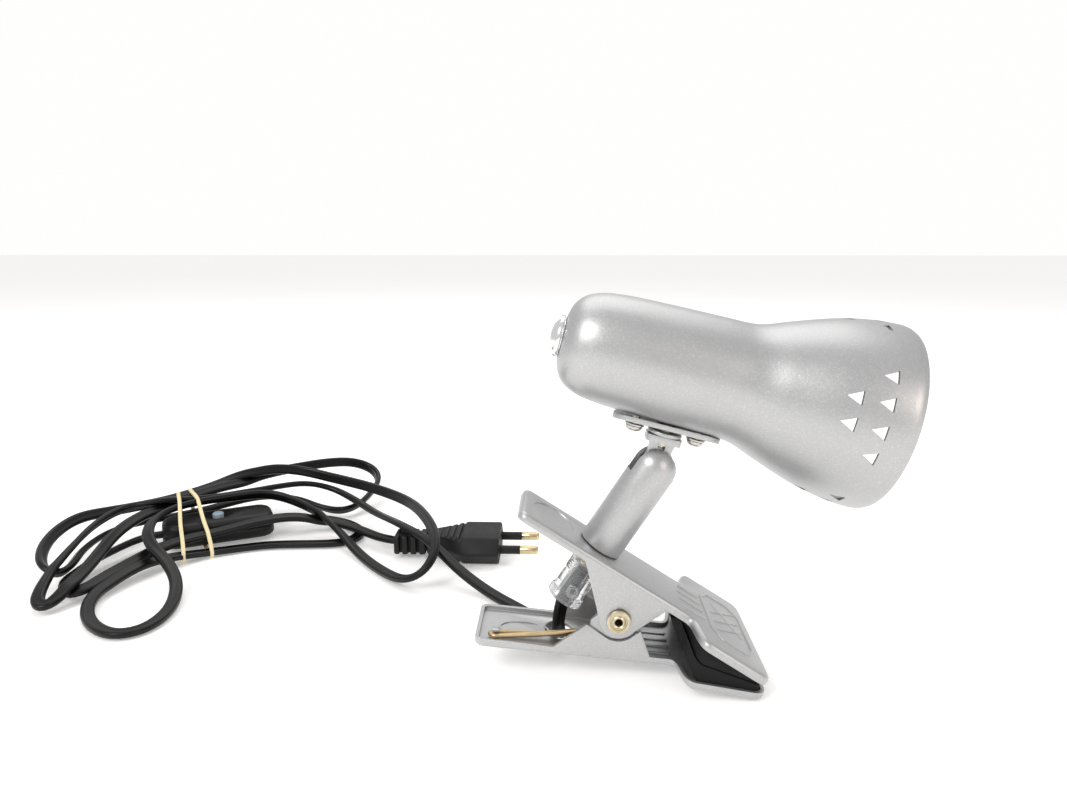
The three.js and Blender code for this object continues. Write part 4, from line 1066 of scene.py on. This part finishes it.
def make_tongue():
    """T-shaped tongue of the tilt joint, its swivel collar and the hollow rivet through them."""
    w, thick, shoulder, top = 5.2, 2.3, HEAD_RISE - 27.2, HEAD_RISE - 24.9
    blade = side_prism([(w, shoulder + 0.2)] + arc(w, 0, -180, 24) + [(-w, shoulder + 0.2)], -thick, thick)
    cut(blade, *[rod(9, -6, 6, (x, 0, 6.6), "Y") for x in (13, -13)])
    head = plan_prism(rounded(-6.3, 6.3, -4.4, 4.4, 2, 6), shoulder - 0.1, top)
    fuse(blade, head)
    cut(blade, rod(2.08, -6, 6, axis="Y"), rod(2.6, top - 5.2, top + 1),
        rod(1.4, -6, 0, (0, 0, top - 4.2), "Y"))
    soften(blade, 0.35, 3, 35)
    finish_piece(blade, "tilt_tongue_bar", NECK, "neck", "silver_paint", ("tilt_tongue",), 35)
    low, high = HEAD_RISE - 24.6, HEAD_RISE - 23.2
    ring = turned([(2.8, low), (5.6, low), (6.0, low + 0.15), (6.2, low + 0.5), (6.2, high - 0.4),
                   (6.0, high - 0.1), (5.6, high), (2.8, high), (2.8, low)], 64)
    finish_piece(ring, "swivel_ring", NECK, "neck", "silver_paint", ("swivel_collar",), 35)
    low, high = HEAD_RISE - 28.6, HEAD_RISE - 19.9
    rivet = turned([(1.9, low), (2.3, low), (2.5, low + 0.2), (2.5, high - 0.8), (3.9, high - 0.8),
                    (4.1, high - 0.6),
                    (3.9, high - 0.2), (3.0, high), (2.2, high - 0.05), (1.9, high - 0.3), (1.9, low)], 48)
    finish_piece(rivet, "swivel_hollow_rivet", NECK, "neck", "zinc_plate", ("swivel_rivet",), 40)


def make_cord_grip():
    """Clear cord grip under the arm: fine threads over a smooth barrel, a flanged foot, a clamp screw."""
    top = TOP_V - SHEET - 0.3
    threads = []
    for i in range(11):
        h = top - 0.9 - 1.0 * i
        threads += [(6.25, h), (6.28, h - 0.25), (5.8, h - 0.6), (5.8, h - 0.8)]
    outside = [(5.3, top), (5.8, top)] + threads + [(6.0, 1.0), (6.1, 0.6), (6.1, -5.6), (6.3, -5.95),
                                                    (6.8, -6.1), (6.85, -8.4), (6.6, -8.7)]
    body = turned(outside + [(3.5, -8.7), (3.3, -8.5), (3.3, 6.4), (3.6, 6.6), (5.2, 6.6), (5.3, top)], 96)
    cut(body, rod(1.35, -8, 0, (0, 0, -2.6), "Y"))
    finish_piece(body, "clear_grip", TUBE, "upper_clip", "clear_plastic", ("cord_grip",), 40)
    screw = turned([(0, 3.6), (1.1, 3.6), (1.25, 3.8), (1.25, 6.4), (2.3, 6.4), (2.4, 6.6), (2.4, 7.9),
                    (2.2, 8.15), (0, 8.2)], 40, ALONG_Y)
    cut(screw, block((-0.4, -9, -3), (0.4, -7.5, 3)))
    finish_piece(screw, "clear_grip_screw", TUBE @ Matrix.Translation((0, 0, -2.6)), "upper_clip",
                 "clear_plastic",
                 ("cord_grip_screw",), 40)


make_upper_arm()
make_lower_arm()
make_pads()
make_pivot()
make_tube()
make_tongue()
make_cord_grip()


# ---------- plug, switch and band ----------
PLUG = Matrix.Translation((-73.6, 98, 6.85))
SWITCH = Matrix.Translation(SWITCH_AT) @ Matrix.Rotation(SWITCH_TURN, 4, "Z")


def make_plug():
    """Flat two-pin plug: a six-sided face that tapers to a ridged grip, and its two sleeved pins."""
    half, high, flat = 17.65, 6.85, 11.6
    section = [(-half, 0), (-flat, -high), (flat, -high), (half, 0), (flat, high), (-flat, high)]
    body = prism([(0, y, z) for y, z in section], (-17, 0, 0))
    pick(body)
    mode("EDIT")
    last, before = -17, (1, 1)
    for x, wide, tall in ((-19.5, 0.93, 0.97), (-24, 0.76, 0.90), (-30, 0.56, 0.82), (-36.4, 0.40, 0.72)):
        select(lambda co: abs(co.x - last) < 0.01, "FACE")
        draw_out((x - last, 0, 0))
        bpy.ops.transform.resize(value=(1, wide / before[0], tall / before[1]), center_override=(x, 0, 0))
        last, before = x, (wide, tall)
    face_out()
    mode("OBJECT")
    soften(body, 1.3, 4, 20)
    grooves = []
    for i, x in enumerate((-18.9, -22.0, -25.1, -28.2)):
        wide = 14.2 - i * 2.3
        for side in (-1, 1):
            groove = soften(block((x - 0.75, -wide, 5.25 if side > 0 else -9), (x + 0.75, wide,
                                                                                9 if side > 0 else -5.25)),
                                                                                0.3, 2)
            grooves.append(groove)
    holes = [rod(2.15, -11, 1, (0, side * PIN_OUT, 0), "X") for side in (-1, 1)]
    cut(body, *grooves)
    cut(body, *holes)
    cut(body, rod(2.9, -40, -30, axis="X"))
    soften(body, 0.18, 2, 40)
    finish_piece(body, "plug_shell", PLUG, "lower_clip", "plug_plastic", ("plug_body",), 35)

    relief = soften(block((-52.6, -6.4, -4.7), (-36.7, 6.4, 4.7)), 1.2, 3)
    for x in (-39.9, -44.1, -48.3):
        for side in (-1, 1):
            near, far = sorted((side * 3.4, side * 9))
            cut(relief, block((x - 1.7, near, -9), (x, far, 9)))
    cut(relief, rod(2.95, -54, -36, axis="X"))
    soften(relief, 0.3, 2, 40)
    finish_piece(relief, "plug_relief_ribs", PLUG, "lower_clip", "plug_plastic", ("plug_relief",), 35)

    for name, side in (("near", -1), ("far", 1)):
        pin = turned([(0, -8), (1.85, -8), (1.85, 10.0), (2.0, 10.2), (2.0, 17.3), (1.85, 18.1), (1.5, 18.7),
                      (0.8, 19), (0, 19.05)], 40, ALONG_X)
        sleeve = turned([(1.86, 0.1), (2.05, 0.1), (2.05, 9.9), (1.95, 10.1), (1.86, 10.1), (1.86, 0.1)], 40,
                        ALONG_X)
        spot = PLUG @ Matrix.Translation((0, side * PIN_OUT, 0))
        finish_piece(pin, "pin_" + name, spot, "lower_clip", "brass", ("plug_pin_" + name,), 40)
        finish_piece(sleeve, "pin_sleeve_" + name, spot, "lower_clip", "plug_plastic", (), 40)


def make_switch():
    """Inline switch: two moulded halves with a dished recess round the push button."""
    a, b, foot, split, top = 27, 11, 1.7, 7.4, 13.9
    outline = rounded(-a, a, -b, b, 7.5, 9)
    notches = lambda: [rod(3.0, 20, 30, (0, 0, split), "X"), rod(3.0, -30, -20, (0, 0, split), "X")]
    base = plan_prism(outline, foot, split - 0.05)
    cut(base, plan_prism(rounded(-a + 1.6, a - 1.6, -b + 1.6, b - 1.6, 5.9, 6), foot + 1.6, split + 1))
    apply_edge(base, foot, 2.2)
    cut(base, *notches())
    cut(base, rod(2.4, 0, foot + 0.9, (14, 0, 0)))
    soften(base, 0.2, 2, 40)
    finish_piece(base, "switch_lower_half", SWITCH, "lower_clip", "black_plastic", ("switch_base",), 35)

    cover = plan_prism(outline, split + 0.3, top)
    cut(cover, plan_prism(rounded(-a + 1.6, a - 1.6, -b + 1.6, b - 1.6, 5.9, 6), split - 1, top - 2.6))
    apply_edge(cover, top, 3.0)
    cut(cover, *notches())
    bpy.ops.object.select_all(action="DESELECT")
    bpy.ops.mesh.primitive_uv_sphere_add(segments=64, ring_count=32, radius=14, location=(0, 0, top + 12.4))
    dish = active()
    dish.scale = (1.35, 0.95, 1)
    pick(dish)
    apply_place()
    cut(cover, dish)
    cut(cover, rod(3.1, 0, 30, vertices=56))
    soften(cover, 0.2, 2, 40)
    finish_piece(cover, "switch_upper_half", SWITCH, "lower_clip", "black_plastic", ("switch_cover",), 35)

    knob = turned([(0, 10.6), (4.4, 10.6), (4.4, 11.15), (2.8, 11.25), (2.85, 14.3), (2.7, 14.8),
                   (2.3, 15.1), (1.5, 15.25),
                   (0, 15.3)], 56)
    finish_piece(knob, "push_knob", SWITCH, "button", "button_plastic", ("switch_button",), 40)
    screw = turned([(0, foot), (1.6, foot), (2.1, foot + 0.35), (2.1, foot + 0.8), (1.1, foot + 0.8),
                    (1.1, split + 3), (0, split + 3)], 36)
    cut(screw, block((-2.5, -0.28, foot - 1), (2.5, 0.28, foot + 0.5)))
    finish_piece(screw, "switch_fixing_screw", SWITCH @ Matrix.Translation((14, 0, 0)), "lower_clip",
                 "steel_plate", ("switch_screw",),
                 40)


def apply_edge(obj, height, width):
    """Rounds the outer rim of a moulded half at this height."""
    pick(obj)
    mode("EDIT")
    select(lambda co: abs(co.z - height) < 0.01, "EDGE")
    bpy.ops.mesh.bevel(offset=width, segments=6, profile=0.5)
    mode("OBJECT")


BAND_AT = Vector((-238, 101, 0))


def make_band(path):
    """Rubber band wound twice round the bundle; each turn hugs the strands where it crosses them."""
    turns = []
    for lean, slide, name in ((-1, 1.5, "a"), (7, 11.5, "b")):
        way = SWITCH_TURN + math.radians(lean)
        along = np.array((math.cos(way), math.sin(way)))
        across = np.array((-along[1], along[0]))
        centre = np.array(BAND_AT)[:2] + np.array((math.cos(SWITCH_TURN), math.sin(SWITCH_TURN))) * slide
        corners = [(-15.5 + 22 * k, z) for k in (0, 1) for z in (1.2, 14.2)]
        for p, q in zip(path, path[1:]):
            s, t = (p[:2] - centre) @ along, (q[:2] - centre) @ along
            if s * t < 0:
                m = p + (q - p) * s / (s - t)
                a = (m[:2] - centre) @ across
                if abs(a) < 34:
                    corners += [(-a + 2.7 * math.cos(w), m[2] + 2.0 * math.sin(w))
                                for w in np.linspace(0, 2 * math.pi, 9)[:-1]]
        corners = sorted({(round(a, 3), round(max(z, 0.1), 3)) for a, z in corners})
        cross = lambda o, p, q: (p[0] - o[0]) * (q[1] - o[1]) - (p[1] - o[1]) * (q[0] - o[0])
        hull = []
        for points in (corners, corners[::-1]):
            part = []
            for c in points:
                while len(part) > 1 and cross(part[-2], part[-1], c) <= 0:
                    part.pop()
                part.append(c)
            hull += part[:-1]
        loop = np.array([(centre[0] - across[0] * a, centre[1] - across[1] * a, z) for a, z in hull])
        loop = np.vstack([loop, loop[:1]])
        run = np.concatenate([[0], np.cumsum(np.linalg.norm(np.diff(loop, axis=0), axis=1))])
        even = np.linspace(0, run[-1], 161)[:-1]
        loop = np.column_stack([np.interp(even, run, loop[:, k]) for k in range(3)])
        for _ in range(10):
            loop = (np.roll(loop, 1, 0) + 2 * loop + np.roll(loop, -1, 0)) / 4
        centre3 = loop.mean(axis=0)
        tangent = np.roll(loop, -1, 0) - np.roll(loop, 1, 0)
        tangent /= np.linalg.norm(tangent, axis=1, keepdims=True)
        axis = np.array((along[0], along[1], 0))
        out = np.cross(tangent, axis)
        out *= np.sign(((loop - centre3) * out).sum(axis=1))[:, None]
        verts, faces = [], []
        for i, (p, o) in enumerate(zip(loop, out)):
            wave = 0.18 * math.sin(i * 0.16) * axis
            for x, y in ((-0.9, 0), (-0.8, 1.0), (-0.4, 1.15), (0.4, 1.15), (0.8, 1.0), (0.9, 0)):
                v = p + wave + axis * x * 1.05 + o * y
                verts.append((v[0], v[1], max(v[2], 0.02)))
        m, n = 6, len(loop)
        for i in range(n):
            for k in range(m):
                faces.append((i * m + k, i * m + (k + 1) % m, ((i + 1) % n) * m + (k + 1) % m,
                              ((i + 1) % n) * m + k))
        mesh = bpy.data.meshes.new("band_" + name)
        mesh.from_pydata(verts, [], faces)
        obj = bpy.data.objects.new("band_" + name, mesh)
        bpy.context.collection.objects.link(obj)
        turns.append(obj)
    band = together(*turns)
    pick(band)
    mode("EDIT")
    face_out()
    mode("OBJECT")
    finish_piece(band, "tied_band", TABLE, "lower_clip", "cream_rubber", ("rubber_band",), 60)
    return band


make_plug()
make_switch()
band = make_band(lead_path * 1000)


# ---------- floor and light ----------
def make_stage():
    bpy.ops.mesh.primitive_plane_add(size=12, location=(0, 1.5, -0.0002))
    floor = bpy.context.active_object
    floor.name = "floor"
    f = Finish("paper", Roughness=0.9, Specular_IOR_Level=0.1, Emission_Strength=0.26)
    tone = f.noise(f.node("TexCoord", output="Object"), 1.5)
    f.drive(Base_Color=f.blend(tone, (0.90, 0.893, 0.885), (0.91, 0.905, 0.90)))
    floor.data.materials.append(f.material)
    world = bpy.data.worlds.new("room")
    world.use_nodes = True
    tree = world.node_tree
    seen = tree.nodes.new("ShaderNodeLightPath")
    strength = tree.nodes.new("ShaderNodeMapRange")
    strength.inputs["To Min"].default_value, strength.inputs["To Max"].default_value = 0.72, 1.0
    tree.links.new(seen.outputs["Is Camera Ray"], strength.inputs["Value"])
    tree.links.new(strength.outputs[0], tree.nodes["Background"].inputs["Strength"])
    tree.nodes["Background"].inputs["Color"].default_value = (1.0, 0.995, 0.99, 1)
    bpy.context.scene.world = world
    bpy.context.scene.view_settings.view_transform = "Standard"
    for name, at, aim, size, power, colour in [
        ("window", (-0.75, -0.75, 0.95), (-0.05, 0.02, 0.05), 0.55, 8, (1.0, 0.985, 0.96)),
        ("ceiling", (-0.1, 0.7, 1.3), (-0.1, 0.1, 0.0), 1.3, 7, (1.0, 0.99, 0.97)),
        ("warm_fill", (0.7, -0.7, 0.45), (0.0, 0.0, 0.09), 0.35, 1.6, (1.0, 0.86, 0.78)),
    ]:
        data = bpy.data.lights.new(name, "AREA")
        data.size, data.energy, data.color = size, power, colour
        lamp = bpy.data.objects.new(name, data)
        lamp.location = at
        lamp.rotation_euler = (Vector(aim) - Vector(at)).to_track_quat("-Z", "Y").to_euler()
        bpy.context.collection.objects.link(lamp)


make_stage()

for node, obj in frame["nodes"].items():
    if obj.hide_render:
        continue
    slot_name = next(s["material_slot"] for s in frame["record"]["subparts"] if s["node"] == node)
    if node in ("arm_wire", "head_wire"):
        slot_name = "wire_pvc"
    obj.data.materials.clear()
    obj.data.materials.append(MATERIALS[slot_name])
